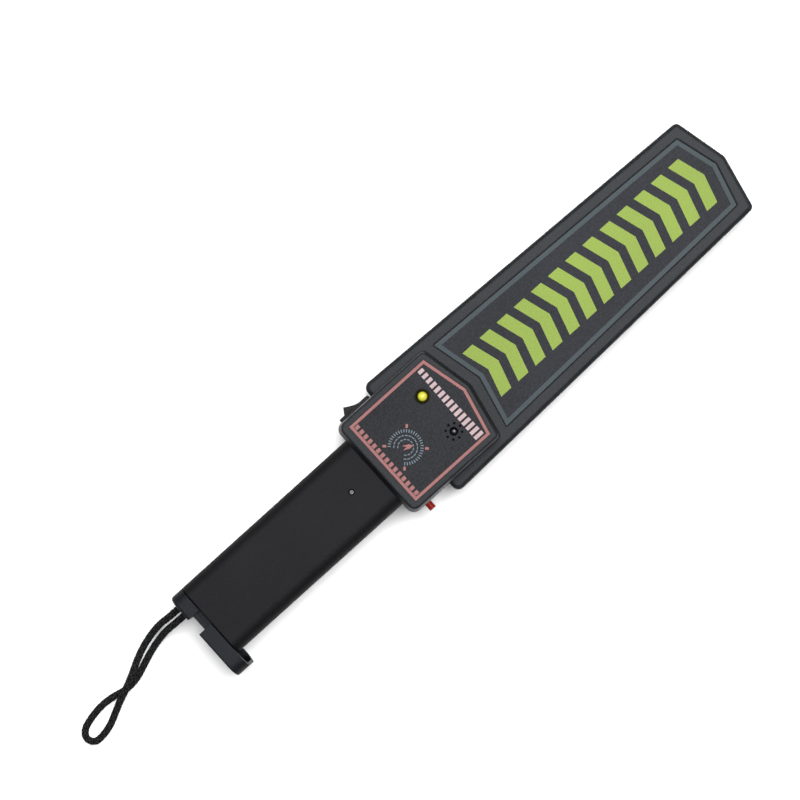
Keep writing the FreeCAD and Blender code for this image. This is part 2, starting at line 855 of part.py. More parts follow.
def battery_clip():
    start = end_x + battery_from_end + battery_length + slip_fit
    half_y = clip_length_share * battery_width / 2
    half_z = battery_depth / 2 - battery_corner
    clip = section_block(start, start + clip_thickness, half_y, half_z, battery_corner, battery_mid_y())
    sockets = []
    for side in (-1, 1):
        base = point(start - cut_overrun, battery_mid_y() + side * stud_pitch / 2, handle_z)
        sockets.append(Part.makeCylinder(stud_radius + close_fit, stud_height + cut_overrun, base, along))
    return clip.cut(sockets)


def battery_leads():
    start = end_x + battery_from_end + battery_length + slip_fit + clip_thickness
    board_end = neck_x - board_tongue_reach
    run = board_end - start
    # the leads pass midway between the screw bosses and the handle's side wall
    lane = -(screw_boss_radius + handle_width / 2 - handle_wall) / 2
    low = handle_z - battery_depth / 4
    foot = board_end + battery_lead_pitch
    leads = []
    for side in (-1, 1):
        y = battery_mid_y() + side * battery_lead_pitch / 2
        far_y = lane + side * battery_lead_pitch / 2
        route = [point(start, y, handle_z), point(start + run / 8, y, handle_z),
                 point(start + run / 4, far_y, low), point(foot, far_y, low),
                 point(foot, far_y, board_height)]
        leads.append(tube("battery lead", route, battery_lead_radius))
    return group(leads)


# Circuit board and what it carries

def circuit_board():
    tongue_x = neck_x - board_tongue_reach
    shoulder_x = neck_x + board_shoulder_gap
    step_x = shoulder_x + board_shoulder_length
    front_x = shoulder_x + board_length
    tongue = board_tongue_width / 2
    shoulder = board_shoulder_width / 2
    half = board_width / 2
    low_side = [(tongue_x, -tongue), (shoulder_x, -tongue), (shoulder_x, -shoulder), (step_x, -shoulder),
                (step_x, -half), (front_x, -half)]
    high_side = [(x, -y) for x, y in reversed(low_side)]
    corners = [point(x, y, board_height) for x, y in low_side + high_side]
    board = Part.Face(Part.makePolygon(corners + corners[:1])).extrude(up * board_thickness)
    holes = [post(x, y, 0, overall_height, screw_radius + slip_fit) for x, y in board_screw_places()]
    return board.cut(holes)


def component(x, y, length, width, height):
    low = point(x - length / 2, y - width / 2, board_top)
    return box(low, low + point(length, width, height))


def board_components():
    # two chips, a row of small chips, three capacitors and the coil connector
    unit = board_thickness
    middle = neck_x + board_shoulder_gap + board_length / 2
    parts = [component(middle - unit * 2, -unit * 2, unit * 6, unit * 4, unit)]
    parts.append(component(neck_x - trimmer_from_neck + trimmer_size * 2, 0, unit * 4, unit * 6, unit))
    for index in range(4):
        y = (index - 1.5) * unit * 3
        parts.append(component(middle - unit * 10, y, unit * 2, unit, unit / 2))
    for index in range(3):
        y = board_tongue_width / 4 + (index - 1) * unit * 3
        parts.append(post(middle - unit * 7, y, board_top, board_top + unit * 4, unit * 1.25))
    parts.append(component(middle + unit * 13, unit * 6, unit * 2, unit * 5, unit * 3))
    return group(parts)


def lamp_flange_low():
    return film_top - lamp_sink - 2 * lamp_radius - lamp_flange_height - lamp_radius / 2


def lamp():
    low = lamp_flange_low()
    barrel_top = film_top - lamp_sink - lamp_radius
    flange = post(lamp_x, lamp_offset, low, low + lamp_flange_height, lamp_flange_radius)
    barrel = post(lamp_x, lamp_offset, low, barrel_top, lamp_radius)
    dome = Part.makeSphere(lamp_radius, point(lamp_x, lamp_offset, barrel_top), up, 0, 90)
    return flange.fuse([barrel, dome])


def lamp_leads():
    low = lamp_flange_low()
    legs = []
    for side in (-1, 1):
        y = lamp_offset + side * lamp_lead_pitch / 2
        legs.append(post(lamp_x, y, board_top, low, lamp_lead_radius))
    return group(legs)


def lamp_holder():
    # a ring pushed up from inside, with a cone round the lamp's dome
    top = film_top - lamp_sink
    low = lamp_flange_low() + lamp_flange_height + close_fit
    ring = post(lamp_x, lamp_offset, low, top, lamp_holder_radius)
    flange_top = housing_ceiling
    flange_radius = lamp_holder_radius + lamp_holder_flange
    flange = post(lamp_x, lamp_offset, flange_top - shell_wall / 2, flange_top, flange_radius)
    bore = post(lamp_x, lamp_offset, low - cut_overrun, top + cut_overrun, lamp_radius + running_fit)
    cone = Part.makeCone(lamp_radius + running_fit, lamp_holder_radius - slip_fit, lamp_radius,
                         point(lamp_x, lamp_offset, top - lamp_radius))
    return ring.fuse(flange).cut([bore, cone])


def buzzer():
    can = post(lamp_x, -buzzer_offset, board_top, board_top + buzzer_height, buzzer_radius)
    can = can.makeFillet(slip_fit, level_edges(can, board_top + buzzer_height))
    well = post(lamp_x, -buzzer_offset, board_top + buzzer_height - buzzer_dome_height, overall_height,
                buzzer_dome_radius + slip_fit)
    return can.cut(well)


def buzzer_diaphragm():
    low = board_top + buzzer_height - buzzer_dome_height
    radius = (buzzer_dome_radius ** 2 + buzzer_dome_height ** 2) / (2 * buzzer_dome_height)
    ball = Part.makeSphere(radius, point(lamp_x, -buzzer_offset, low + buzzer_dome_height - radius))
    return ball.common(post(lamp_x, -buzzer_offset, low, overall_height, buzzer_dome_radius))


# Trimmer

def trimmer_body():
    x = neck_x - trimmer_from_neck
    body = component(x, 0, trimmer_size, trimmer_size, trimmer_height)
    seat = post(x, 0, board_top + trimmer_height - trimmer_screw_height / 2, overall_height,
                trimmer_screw_radius + running_fit)
    return body.cut(seat)


def trimmer_screw():
    x = neck_x - trimmer_from_neck
    low = board_top + trimmer_height - trimmer_screw_height / 2
    disc = post(x, 0, low, low + trimmer_screw_height, trimmer_screw_radius)
    reach = trimmer_screw_radius * 2
    slot = box(point(x - reach, -trimmer_slot / 2, low + trimmer_screw_height / 2),
               point(x + reach, trimmer_slot / 2, low + trimmer_screw_height * 2))
    return disc.cut(slot)


# Rocker switch, drawn on a wall whose outside is the XZ plane

def rocker_swing():
    # how far a top corner of the rocker gets along the well when its end is pressed in
    tilt = math.radians(rocker_tilt)
    return rocker_top_length / 2 * math.cos(tilt) + rocker_rise * math.sin(tilt)


def rocker_switch_body():
    length = switch_body_length / 2
    width = switch_body_width / 2
    case = box(point(-length, -switch_body_depth, switch_height - width),
               point(length, bezel_height / 2, switch_height + width))
    corners = [point(-bezel_length / 2, 0, switch_height - bezel_width / 2),
               point(bezel_length / 2, 0, switch_height - bezel_width / 2),
               point(bezel_length / 2, 0, switch_height + bezel_width / 2),
               point(-bezel_length / 2, 0, switch_height + bezel_width / 2)]
    bezel = Part.Face(rounded_wire(corners, [switch_corner] * 4)).extrude(across * bezel_height)
    rim = [e for e in bezel.Edges if e.BoundBox.YMin > bezel_height - close_fit]
    bezel = bezel.makeFillet(bezel_height / 4, rim)
    well_length = rocker_swing() + rocker_well_gap
    well_width = rocker_width / 2 + rocker_well_gap
    well_floor = bezel_height - rocker_pivot_depth - trunnion_radius * 3
    well = box(point(-well_length, well_floor, switch_height - well_width),
               point(well_length, bezel_height * 2, switch_height + well_width))
    hole_reach = well_width + trunnion_length / 2
    pivot = Part.makeCylinder(trunnion_radius + running_fit, 2 * hole_reach,
                              point(0, bezel_height - rocker_pivot_depth, switch_height - hole_reach))
    return on_wall(case.fuse(bezel).cut([well, pivot]), neck_x + switch_from_neck, 1)


def power_rocker():
    # drawn level about its pivot, with a dished top, then tilted
    top = (rocker_top_length / 2, rocker_rise)
    foot = (rocker_length / 2, rocker_foot_rise)
    pivot_y = bezel_height - rocker_pivot_depth
    low_z = switch_height - rocker_width / 2
    keel = trunnion_radius * 2

    def at(x, y):
        return point(x, pivot_y + y, low_z)

    edges = [Part.Arc(at(top[0], top[1]), at(0, top[1] - rocker_dish), at(-top[0], top[1])).toShape(),
             Part.LineSegment(at(-top[0], top[1]), at(-foot[0], foot[1])).toShape(),
             Part.Arc(at(-foot[0], foot[1]), at(0, -keel), at(foot[0], foot[1])).toShape(),
             Part.LineSegment(at(foot[0], foot[1]), at(top[0], top[1])).toShape()]
    rocker = Part.Face(Part.Wire(edges)).extrude(up * rocker_width)
    pin_reach = rocker_width / 2 + trunnion_length / 2
    pin = Part.makeCylinder(trunnion_radius, 2 * pin_reach, point(0, pivot_y, switch_height - pin_reach))
    rocker = rocker.fuse(pin)
    rocker.rotate(point(0, pivot_y, 0), up, -rocker_tilt)
    return on_wall(rocker, neck_x + switch_from_neck, 1)


def switch_terminals():
    start = -switch_body_depth
    blades = []
    for index in range(terminals):
        x = (index - (terminals - 1) / 2) * terminal_pitch
        low_z = switch_height - terminal_width / 2
        low = point(x - terminal_thickness / 2, start - terminal_length, low_z)
        blades.append(box(low, low + point(terminal_thickness, terminal_length, terminal_width)))
    return on_wall(group(blades), neck_x + switch_from_neck, 1)


# Push button, drawn on a wall whose outside is the XZ plane

def side_button():
    flange_top = -shell_wall - slip_fit
    cap_foot = point(0, flange_top, button_height)
    cap = Part.makeCylinder(button_radius, button_reach - flange_top, cap_foot, across)
    rim = [e for e in cap.Edges if e.BoundBox.YMin > button_reach - slip_fit]
    cap = cap.makeFillet(button_round, rim)
    flange = Part.makeCylinder(button_radius + button_flange, button_flange_thickness,
                               point(0, flange_top - button_flange_thickness, button_height), across)
    return on_wall(cap.fuse(flange), neck_x + button_from_neck, -1)


def button_low():
    return -shell_wall - slip_fit - button_flange_thickness


def button_plunger():
    low = button_low() - plunger_length
    plunger = Part.makeCylinder(plunger_radius, plunger_length, point(0, low, button_height), across)
    return on_wall(plunger, neck_x + button_from_neck, -1)


def button_switch_top():
    return button_low() - button_travel - slip_fit


def button_switch():
    half = button_switch_size / 2
    top = button_switch_top()
    body = box(point(-half, top - button_switch_depth, button_height - half),
               point(half, top, button_height + half))
    bore_end = button_low() - plunger_length - button_travel - slip_fit
    bore_foot = point(0, bore_end, button_height)
    bore = Part.makeCylinder(plunger_radius + running_fit, -bore_end, bore_foot, across)
    return on_wall(body.cut(bore), neck_x + button_from_neck, -1)


def button_switch_pins():
    half = button_switch_size / 2
    middle = button_switch_top() - button_switch_depth / 2
    pins = []
    for side in (-1, 1):
        x = side * half / 2
        low = point(x - button_pin_width / 2, middle - button_pin_width / 2, button_height + half)
        high = point(x + button_pin_width / 2, middle + button_pin_width / 2, board_height)
        pins.append(box(low, high))
    return on_wall(group(pins), neck_x + button_from_neck, -1)


# Search coil

def coil_block(inset, low, high):
    # corners stay concentric as the outline moves inwards
    radius = max(coil_corner - (inset - coil_outer_inset), coil_corner / 4)
    return plan_block(inset_corners(coil_outline(), inset), [radius] * 5, low, high)


def coil_ring(outer, inner, low, high):
    return coil_block(outer, low, high).cut(coil_block(inner, low - cut_overrun, high + cut_overrun))


def coil_former():
    base_top = coil_seat_height + former_base_thickness
    base = coil_ring(coil_outer_inset, coil_inner_inset, coil_seat_height, base_top)
    wall = coil_ring(coil_inner_inset - former_wall, coil_inner_inset, coil_seat_height,
                     coil_seat_height + former_wall_height)
    return base.fuse(wall)


def search_coil():
    low = coil_seat_height + former_base_thickness
    outer = coil_outer_inset + winding_edge_gap
    return coil_ring(outer, coil_inner_inset - former_wall - close_fit, low, low + winding_height)


def coil_leads():
    start = blade_base_x + coil_base_setback + coil_outer_inset + winding_edge_gap
    foot = neck_x + board_shoulder_gap + board_length - coil_lead_pitch
    run = start - foot
    low = coil_seat_height + former_base_thickness + winding_height / 2
    rise = (board_height - low) / 2
    leads = []
    for side in (-1, 1):
        y = side * coil_lead_pitch / 2
        route = [point(start, y, low), point(start - run / 4, y, low),
                 point(foot, y, low + rise), point(foot, y, board_height)]
        leads.append(tube("coil lead", route, coil_lead_radius))
    return group(leads)


# Screws

def screw(x, y, seat, bite, head_radius, head_height):
    # a pan-headed screw driven up from below, its head's seat at the given height
    rim = seat - head_height / 2
    outline = [point(0, 0, seat - head_height), point(head_radius * 2 / 3, 0, seat - head_height),
               point(head_radius, 0, rim), point(head_radius, 0, seat), point(screw_radius, 0, seat),
               point(screw_radius, 0, seat + bite), point(0, 0, seat + bite)]
    solid = Part.Face(Part.makePolygon(outline + outline[:1])).revolve(point(0, 0, 0), up, 360)
    half = screw_recess_width / 2
    reach = head_radius * 2 / 3 - screw_recess_width / 4
    low = seat - head_height - cut_overrun
    high = seat - head_height + screw_recess_depth
    cross = [box(point(-reach, -half, low), point(reach, half, high)),
             box(point(-half, -reach, low), point(half, reach, high))]
    solid = solid.cut(cross)
    solid.translate(point(x, y, 0))
    return solid


def head_screws():
    bite = parting_height - screw_seat_height + screw_bite
    return group([screw(x, y, screw_seat_height, bite, screw_head_radius, screw_head_height)
                  for x, y, ceiling in head_screw_places()])


def handle_screws():
    seat = handle_z - handle_depth / 2 + screw_seat_height
    bite = handle_z - seat + screw_bite - cut_overrun
    return group([screw(x, y, seat, bite, screw_head_radius, screw_head_height)
                  for x, y in handle_screw_places()])


def board_screws():
    bite = board_thickness + board_screw_bite
    return group([screw(x, y, board_height, bite, board_screw_head_radius, board_screw_head_height)
                  for x, y in board_screw_places()])


def print_joints():
    # where the moving pieces turn and slide
    pivot = Part.Vertex(0, bezel_height - rocker_pivot_depth, switch_height)
    pivot = on_wall(pivot, neck_x + switch_from_neck, 1)
    print("rocker pivot", [round(value, 4) for value in pivot.Point])
    print("door", -door_open, "to", round(door_width - door_open - 3 * door_wall, 2))
    print("trimmer", neck_x - trimmer_from_neck, board_top + trimmer_height)


pieces = {
    "head_front_shell": head_front_shell, "head_back_shell": head_back_shell, "head_label": head_label,
    "control_label": control_label, "handle_front_shell": handle_front_shell,
    "handle_back_shell": handle_back_shell, "handle_end_plate": handle_end_plate,
    "battery_door": battery_door, "strap_crimp": strap_crimp, "wrist_strap": wrist_strap,
    "battery": battery, "battery_clip": battery_clip,
    "battery_leads": battery_leads, "circuit_board": circuit_board, "board_components": board_components,
    "indicator_lamp": lamp, "lamp_leads": lamp_leads, "lamp_holder": lamp_holder, "buzzer": buzzer,
    "buzzer_diaphragm": buzzer_diaphragm, "trimmer_body": trimmer_body, "trimmer_screw": trimmer_screw,
    "rocker_switch_body": rocker_switch_body, "power_rocker": power_rocker,
    "switch_terminals": switch_terminals, "side_button": side_button, "button_plunger": button_plunger,
    "button_switch": button_switch, "button_switch_pins": button_switch_pins, "coil_former": coil_former,
    "search_coil": search_coil, "coil_leads": coil_leads, "head_screws": head_screws,
    "handle_screws": handle_screws, "board_screws": board_screws,
}

os.makedirs("parts", exist_ok=True)
for name, make in pieces.items():
    shape = make()
    shape.exportStep("parts/" + name + ".step")
    print(name, len(shape.Solids), "solids", round(shape.Volume), "mm3", "valid", shape.isValid())
print_joints()
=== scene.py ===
import json
import math

import bmesh
import bpy
import numpy as np
from mathutils import Matrix, Vector


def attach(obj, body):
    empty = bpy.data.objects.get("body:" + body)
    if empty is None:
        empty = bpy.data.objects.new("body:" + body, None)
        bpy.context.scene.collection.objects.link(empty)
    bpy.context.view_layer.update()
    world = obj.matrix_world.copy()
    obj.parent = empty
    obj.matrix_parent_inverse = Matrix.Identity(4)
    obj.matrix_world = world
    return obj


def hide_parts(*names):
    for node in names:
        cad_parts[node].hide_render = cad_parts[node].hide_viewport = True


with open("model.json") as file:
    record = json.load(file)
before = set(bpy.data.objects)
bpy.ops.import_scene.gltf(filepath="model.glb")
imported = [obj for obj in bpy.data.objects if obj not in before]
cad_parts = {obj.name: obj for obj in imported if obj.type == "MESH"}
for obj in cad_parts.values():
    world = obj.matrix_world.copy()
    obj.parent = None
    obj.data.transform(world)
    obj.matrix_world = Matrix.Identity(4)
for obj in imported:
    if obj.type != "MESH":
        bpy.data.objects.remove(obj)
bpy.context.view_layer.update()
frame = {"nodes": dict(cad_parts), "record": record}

collection = bpy.context.scene.collection


# Camera: it looks down on the wand and is turned about its own axis, so the wand lies on a slant

cameraLook = {
    "target": (-0.02821, 0.02099, 0.031),
    "right": (0.7425, -0.6698, 0.0),
    "leanAlong": 1.5,   # degrees
    "leanAcross": -2.0,
    "distance": 1.6,
    "lens": 124.5,      # millimetres, like the sensor's width
    "sensorWidth": 36,
    "clipStart": 0.05,
    "clipEnd": 30,
}


def aimMatrix(place, back, right):
    back = back.normalized()
    up = back.cross(right).normalized()
    turn = Matrix((up.cross(back), up, back)).transposed()
    return Matrix.Translation(place) @ turn.to_4x4()


def makeCamera(look):
    camera = bpy.data.cameras.new("camera")
    camera.sensor_width = look["sensorWidth"]
    camera.lens = look["lens"]
    camera.clip_start = look["clipStart"]
    camera.clip_end = look["clipEnd"]
    holder = bpy.data.objects.new("camera", camera)
    collection.objects.link(holder)
    alongTilt = math.sin(math.radians(look["leanAlong"]))
    acrossTilt = math.sin(math.radians(look["leanAcross"]))
    back = Vector((alongTilt, acrossTilt, math.sqrt(1 - alongTilt ** 2 - acrossTilt ** 2)))
    place = Vector(look["target"]) + back * look["distance"]
    holder.matrix_world = aimMatrix(place, back, Vector(look["right"]))
    bpy.context.scene.camera = holder


makeCamera(cameraLook)
print("camera set")


# Wrist strap: one cord out of the end block, once across itself, and back into the block

strap = {
    "diameter": 0.0044,
    "length": 0.219,
    "exit": (-0.2043, 0.0175, 0.02),
    "routeSteps": 24,   # steps of the route from one of its points to the next
    "endX": -0.205,     # the wand's end, from which the points below are counted
    "points": [
        (0.003, 0.0175, 0.02), (-0.0075, 0.0175, 0.02), (-0.0163, 0.0185, 0.0126),
        (-0.0246, 0.0178, 0.0048), (-0.0337, 0.0156, 0.003), (-0.0416, 0.012, 0.0054),
        (-0.0491, 0.0076, 0.0076), (-0.057, 0.0038, 0.0078), (-0.0645, 0.0011, 0.0063),
        (-0.0721, -0.0024, 0.0029), (-0.0799, -0.0061, 0.0023), (-0.087, -0.0077, 0.0023),
        (-0.0934, -0.0076, 0.0023), (-0.096, -0.0022, 0.0023), (-0.0926, 0.0026, 0.0023),
        (-0.0841, 0.0051, 0.0023), (-0.0755, 0.0062, 0.0023), (-0.0673, 0.0055, 0.0023),
        (-0.0587, 0.0032, 0.0023), (-0.0499, 0.0039, 0.0023), (-0.0416, 0.0069, 0.0023),
        (-0.0333, 0.0101, 0.0024), (-0.0248, 0.0123, 0.0037), (-0.0164, 0.0131, 0.0116),
        (-0.0075, 0.0124, 0.02), (0.003, 0.0124, 0.02),
    ],
    "strands": 12,
    "turnLength": 0.0168,   # along the cord, while a strand goes round once
    "strandWidth": 0.0011,
    "strandThickness": 0.00056,
    "weaveDepth": 0.0001,
    "stepsPerCrossing": 5,
    "strandSides": 8,
    "coreRadius": 0.00205,
    "coreSides": 16,
}


def strapCentreline(size):
    curve = bpy.data.curves.new("strapRoute", "CURVE")
    curve.dimensions = "3D"
    curve.resolution_u = size["routeSteps"]
    spline = curve.splines.new("NURBS")
    spline.points.add(len(size["points"]) - 1)
    for point, (x, y, z) in zip(spline.points, size["points"]):
        point.co = (size["endX"] + x, y, z, 1)
    spline.order_u = 3
    spline.use_endpoint_u = True
    guide = bpy.data.objects.new("strapRoute", curve)
    collection.objects.link(guide)
    mesh = bpy.data.meshes.new_from_object(guide)
    line = np.array([vertex.co for vertex in mesh.vertices], float)
    bpy.data.objects.remove(guide)
    bpy.data.meshes.remove(mesh)
    return line


def evenly(line, step):
    # the same line with its points a step apart
    gaps = np.linalg.norm(np.diff(line, axis=0), axis=1)
    along = np.concatenate(([0], np.cumsum(gaps)))
    places = np.linspace(0, along[-1], int(round(along[-1] / step)) + 1)
    return np.stack([np.interp(places, along, line[:, axis]) for axis in range(3)], axis=1), places


def framesAlong(line):
    # two directions square to the line at each point, carried along without twist
    tangents = np.gradient(line, axis=0)
    tangents /= np.linalg.norm(tangents, axis=1)[:, None]
    side = np.cross(tangents[0], (0, 0, 1))
    sides = []
    for tangent in tangents:
        side = side - tangent * (side @ tangent)
        side = side / np.linalg.norm(side)
        sides.append(side)
    sides = np.array(sides)
    return tangents, sides, np.cross(tangents, sides)


def sweep(builder, uvLayer, centres, wide, thick, halfWidth, halfThickness, sides, lengthAt, girthSpan=1.0):
    # one strand: an oval section carried along its centres, with its length and girth in the UV map
    rings = []
    for centre, widthWay, thickWay in zip(centres, wide, thick):
        ring = []
        for index in range(sides):
            turn = 2 * math.pi * index / sides
            acrossStrand = widthWay * (halfWidth * math.cos(turn))
            throughStrand = thickWay * (halfThickness * math.sin(turn))
            ring.append(builder.verts.new(centre + acrossStrand + throughStrand))
        rings.append(ring)
    for row in range(len(rings) - 1):
        for index in range(sides):
            following = (index + 1) % sides
            near, far = rings[row], rings[row + 1]
            face = builder.faces.new((near[index], near[following], far[following], far[index]))
            face.smooth = True
            girth, nextGirth = index / sides * girthSpan, (index + 1) / sides * girthSpan
            girths = (girth, nextGirth, nextGirth, girth)
            lengths = (lengthAt[row], lengthAt[row], lengthAt[row + 1], lengthAt[row + 1])
            for loop, girthAt, length in zip(face.loops, girths, lengths):
                loop[uvLayer].uv = (length, girthAt)
    builder.faces.new(list(reversed(rings[0])))
    builder.faces.new(rings[-1])


def makeStrap(size):
    line = strapCentreline(size)
    half = size["strands"] // 2
    crossing = size["turnLength"] / size["strands"]
    path, places = evenly(line, crossing / size["stepsPerCrossing"])
    tangents, sides, uprights = framesAlong(path)
    builder = bmesh.new()
    uvLayer = builder.loops.layers.uv.new("alongStrand")
    radius = size["diameter"] / 2 - size["strandThickness"] / 2 - size["weaveDepth"]
    for handed in (1, -1):
        for index in range(half):
            turn = handed * 2 * math.pi * (places / size["turnLength"]) + 2 * math.pi * index / half
            outward = sides * np.cos(turn)[:, None] + uprights * np.sin(turn)[:, None]
            around = uprights * np.cos(turn)[:, None] - sides * np.sin(turn)[:, None]
            phase = math.pi * (places / crossing) + math.pi * index
            rise = size["weaveDepth"] * handed * np.cos(phase)
            centres = path + outward * (radius + rise)[:, None]
            run = tangents + around * (handed * 2 * math.pi * radius / size["turnLength"])
            run /= np.linalg.norm(run, axis=1)[:, None]
            wide = np.cross(outward, run)
            sweep(builder, uvLayer, centres, wide, outward, size["strandWidth"] / 2,
                  size["strandThickness"] / 2, size["strandSides"], places)
    core = size["coreRadius"]
    sweep(builder, uvLayer, path, sides, uprights, core, core, size["coreSides"], places, 0.0)
    bmesh.ops.recalc_face_normals(builder, faces=builder.faces)
    mesh = bpy.data.meshes.new("wristStrap")
    builder.to_mesh(mesh)
    builder.free()
    piece = bpy.data.objects.new("wristStrap", mesh)
    collection.objects.link(piece)
    return piece, path


strapPiece, strapPath = makeStrap(strap)
print("strap braided,", len(strapPiece.data.polygons), "faces")


# Node trees: a wire is one socket, and sums on wires add math nodes

class Wire:
    def __init__(self, tree, socket):
        self.tree = tree
        self.socket = socket

    def out(self, name):
        return Wire(self.tree, self.socket.node.outputs[name])

    def math(self, operation, *others):
        values = {0: self}
        values.update({index + 1: other for index, other in enumerate(others)})
        return self.tree.add("ShaderNodeMath", {"operation": operation}, values)

    def __add__(self, other):
        return self.math("ADD", other)

    def __radd__(self, other):
        return self.math("ADD", other)

    def __mul__(self, other):
        return self.math("MULTIPLY", other)

    def __sub__(self, other):
        return self.math("SUBTRACT", other)

    def __rsub__(self, other):
        return self.math("MULTIPLY", -1).math("ADD", other)

    def __truediv__(self, other):
        return self.math("DIVIDE", other)

    def clamped(self):
        return self.tree.add("ShaderNodeClamp", {}, {0: self})


class Tree:
    def __init__(self, nodeTree):
        self.nodeTree = nodeTree

    def add(self, kind, settings=None, values=None):
        node = self.nodeTree.nodes.new(kind)
        for name, value in (settings or {}).items():
            setattr(node, name, value)
        for name, value in (values or {}).items():
            if isinstance(value, Wire):
                self.nodeTree.links.new(value.socket, node.inputs[name])
            else:
                node.inputs[name].default_value = value
        outputs = [socket for socket in node.outputs if socket.enabled]
        return Wire(self, outputs[0]) if outputs else node


def linear(red, green, blue):
    # a screen colour, 0 to 255, as the shader wants it
    def channel(value):
        value /= 255
        return value / 12.92 if value <= 0.04045 else ((value + 0.055) / 1.055) ** 2.4
    return (channel(red), channel(green), channel(blue), 1.0)


def scaled(colour, factor):
    return tuple(min(1.0, part * factor) for part in colour[:3]) + (1.0,)


def startMaterial(name):
    material = bpy.data.materials.new(name)
    material.use_nodes = True
    material.node_tree.nodes.clear()
    return material, Tree(material.node_tree)


def finishMaterial(tree, shader):
    tree.add("ShaderNodeOutputMaterial", {}, {"Surface": shader})


def mixColours(tree, factor, first, second):
    return tree.add("ShaderNodeMix", {"data_type": "RGBA"}, {0: factor, 6: first, 7: second})


def noise(tree, coordinates, size, detail=2.0, roughness=0.5):
    # cloudy pattern whose blotches are about the given size in metres
    return tree.add("ShaderNodeTexNoise", {}, {"Vector": coordinates, "Scale": 1 / size, "Detail": detail,
                                               "Roughness": roughness})


def ramp(tree, value, start, end, first=0.0, last=1.0):
    # a value that goes from first to last while the given one goes from start to end
    return tree.add("ShaderNodeMapRange", {}, {0: value, 1: start, 2: end, 3: first, 4: last})


mottleContrast = 2.6


def mottled(fine, coarse, fineShare):
    # two noises as one tone about the middle, 0 to 1
    return ((fine * fineShare + coarse * (1 - fineShare) - 0.5) * mottleContrast + 0.5).clamped()


plasticForm = {
    "grainDetail": 3.0, "grainRoughness": 0.6, "grainShare": 0.7, "grainGloss": 0.3,
    "cloudDetail": 3.0, "cloudGloss": 0.1,
    "rubStretch": (0.08, 1.0, 1.0), "rubDetail": 4.0, "rubRoughness": 0.7, "rubStart": 0.6, "rubFull": 0.78,
    # the upright part of a surface's normal, between a flat top at 1 and a wall at 0
    "topEnd": 0.98, "roundingStart": 0.84, "roundingEnd": 0.3, "wallStart": 0.12,
    # colour of the painted shade on the roundings, as a share of the plastic's colour
    "roundingShadeTone": 0.15,
}


def mouldedPlastic(name, look, form):
    # moulded plastic: spark-eroded grain, slight clouding, faint rub marks along the wand, and painted shade
    # that darkens the roundings between the flat tops and the walls
    material, tree = startMaterial(name)
    coordinates = tree.add("ShaderNodeTexCoord").out("Object")
    grain = noise(tree, coordinates, look["grain"], form["grainDetail"], form["grainRoughness"])
    clouds = noise(tree, coordinates, look["clouds"], form["cloudDetail"])
    stretched = tree.add("ShaderNodeMapping", {}, {"Vector": coordinates, "Scale": form["rubStretch"]})
    rubs = noise(tree, stretched, look["rubs"], form["rubDetail"], form["rubRoughness"])
    rubMask = ramp(tree, rubs, form["rubStart"], form["rubFull"])
    tone = mottled(grain, clouds, form["grainShare"])
    normals = tree.add("ShaderNodeSeparateXYZ", {}, {"Vector": tree.add("ShaderNodeTexCoord").out("Normal")})
    upright = normals.out("Z").math("ABSOLUTE")
    # painted shade: roundings between the flat tops and the walls are darkened, standing in for the shade
    # the light leaves on them
    belowTop = ramp(tree, upright, form["topEnd"], form["roundingStart"])
    aboveWall = ramp(tree, upright, form["wallStart"], form["roundingEnd"])
    roundingPaintedShade = belowTop * aboveWall * look.get("roundingPaintedShade", 0.0)
    dark = scaled(look["colour"], 1 - look["contrast"])
    light = scaled(look["colour"], 1 + look["contrast"])
    plain = mixColours(tree, tone, dark, light)
    colour = mixColours(tree, roundingPaintedShade, plain.out(2), scaled(look["colour"], form["roundingShadeTone"]))
    uneven = (grain - 0.5) * form["grainGloss"] + (clouds - 0.5) * form["cloudGloss"]
    rough = uneven + look["rough"] - rubMask * look["rubGloss"]
    normal = tree.add("ShaderNodeBump", {}, {"Strength": 1.0, "Distance": look["depth"], "Height": grain})
    shader = tree.add("ShaderNodeBsdfPrincipled", {}, {
        "Base Color": colour.out(2), "Roughness": rough, "Normal": normal,
        "Specular IOR Level": look["gloss"]})
    finishMaterial(tree, shader)
    return material
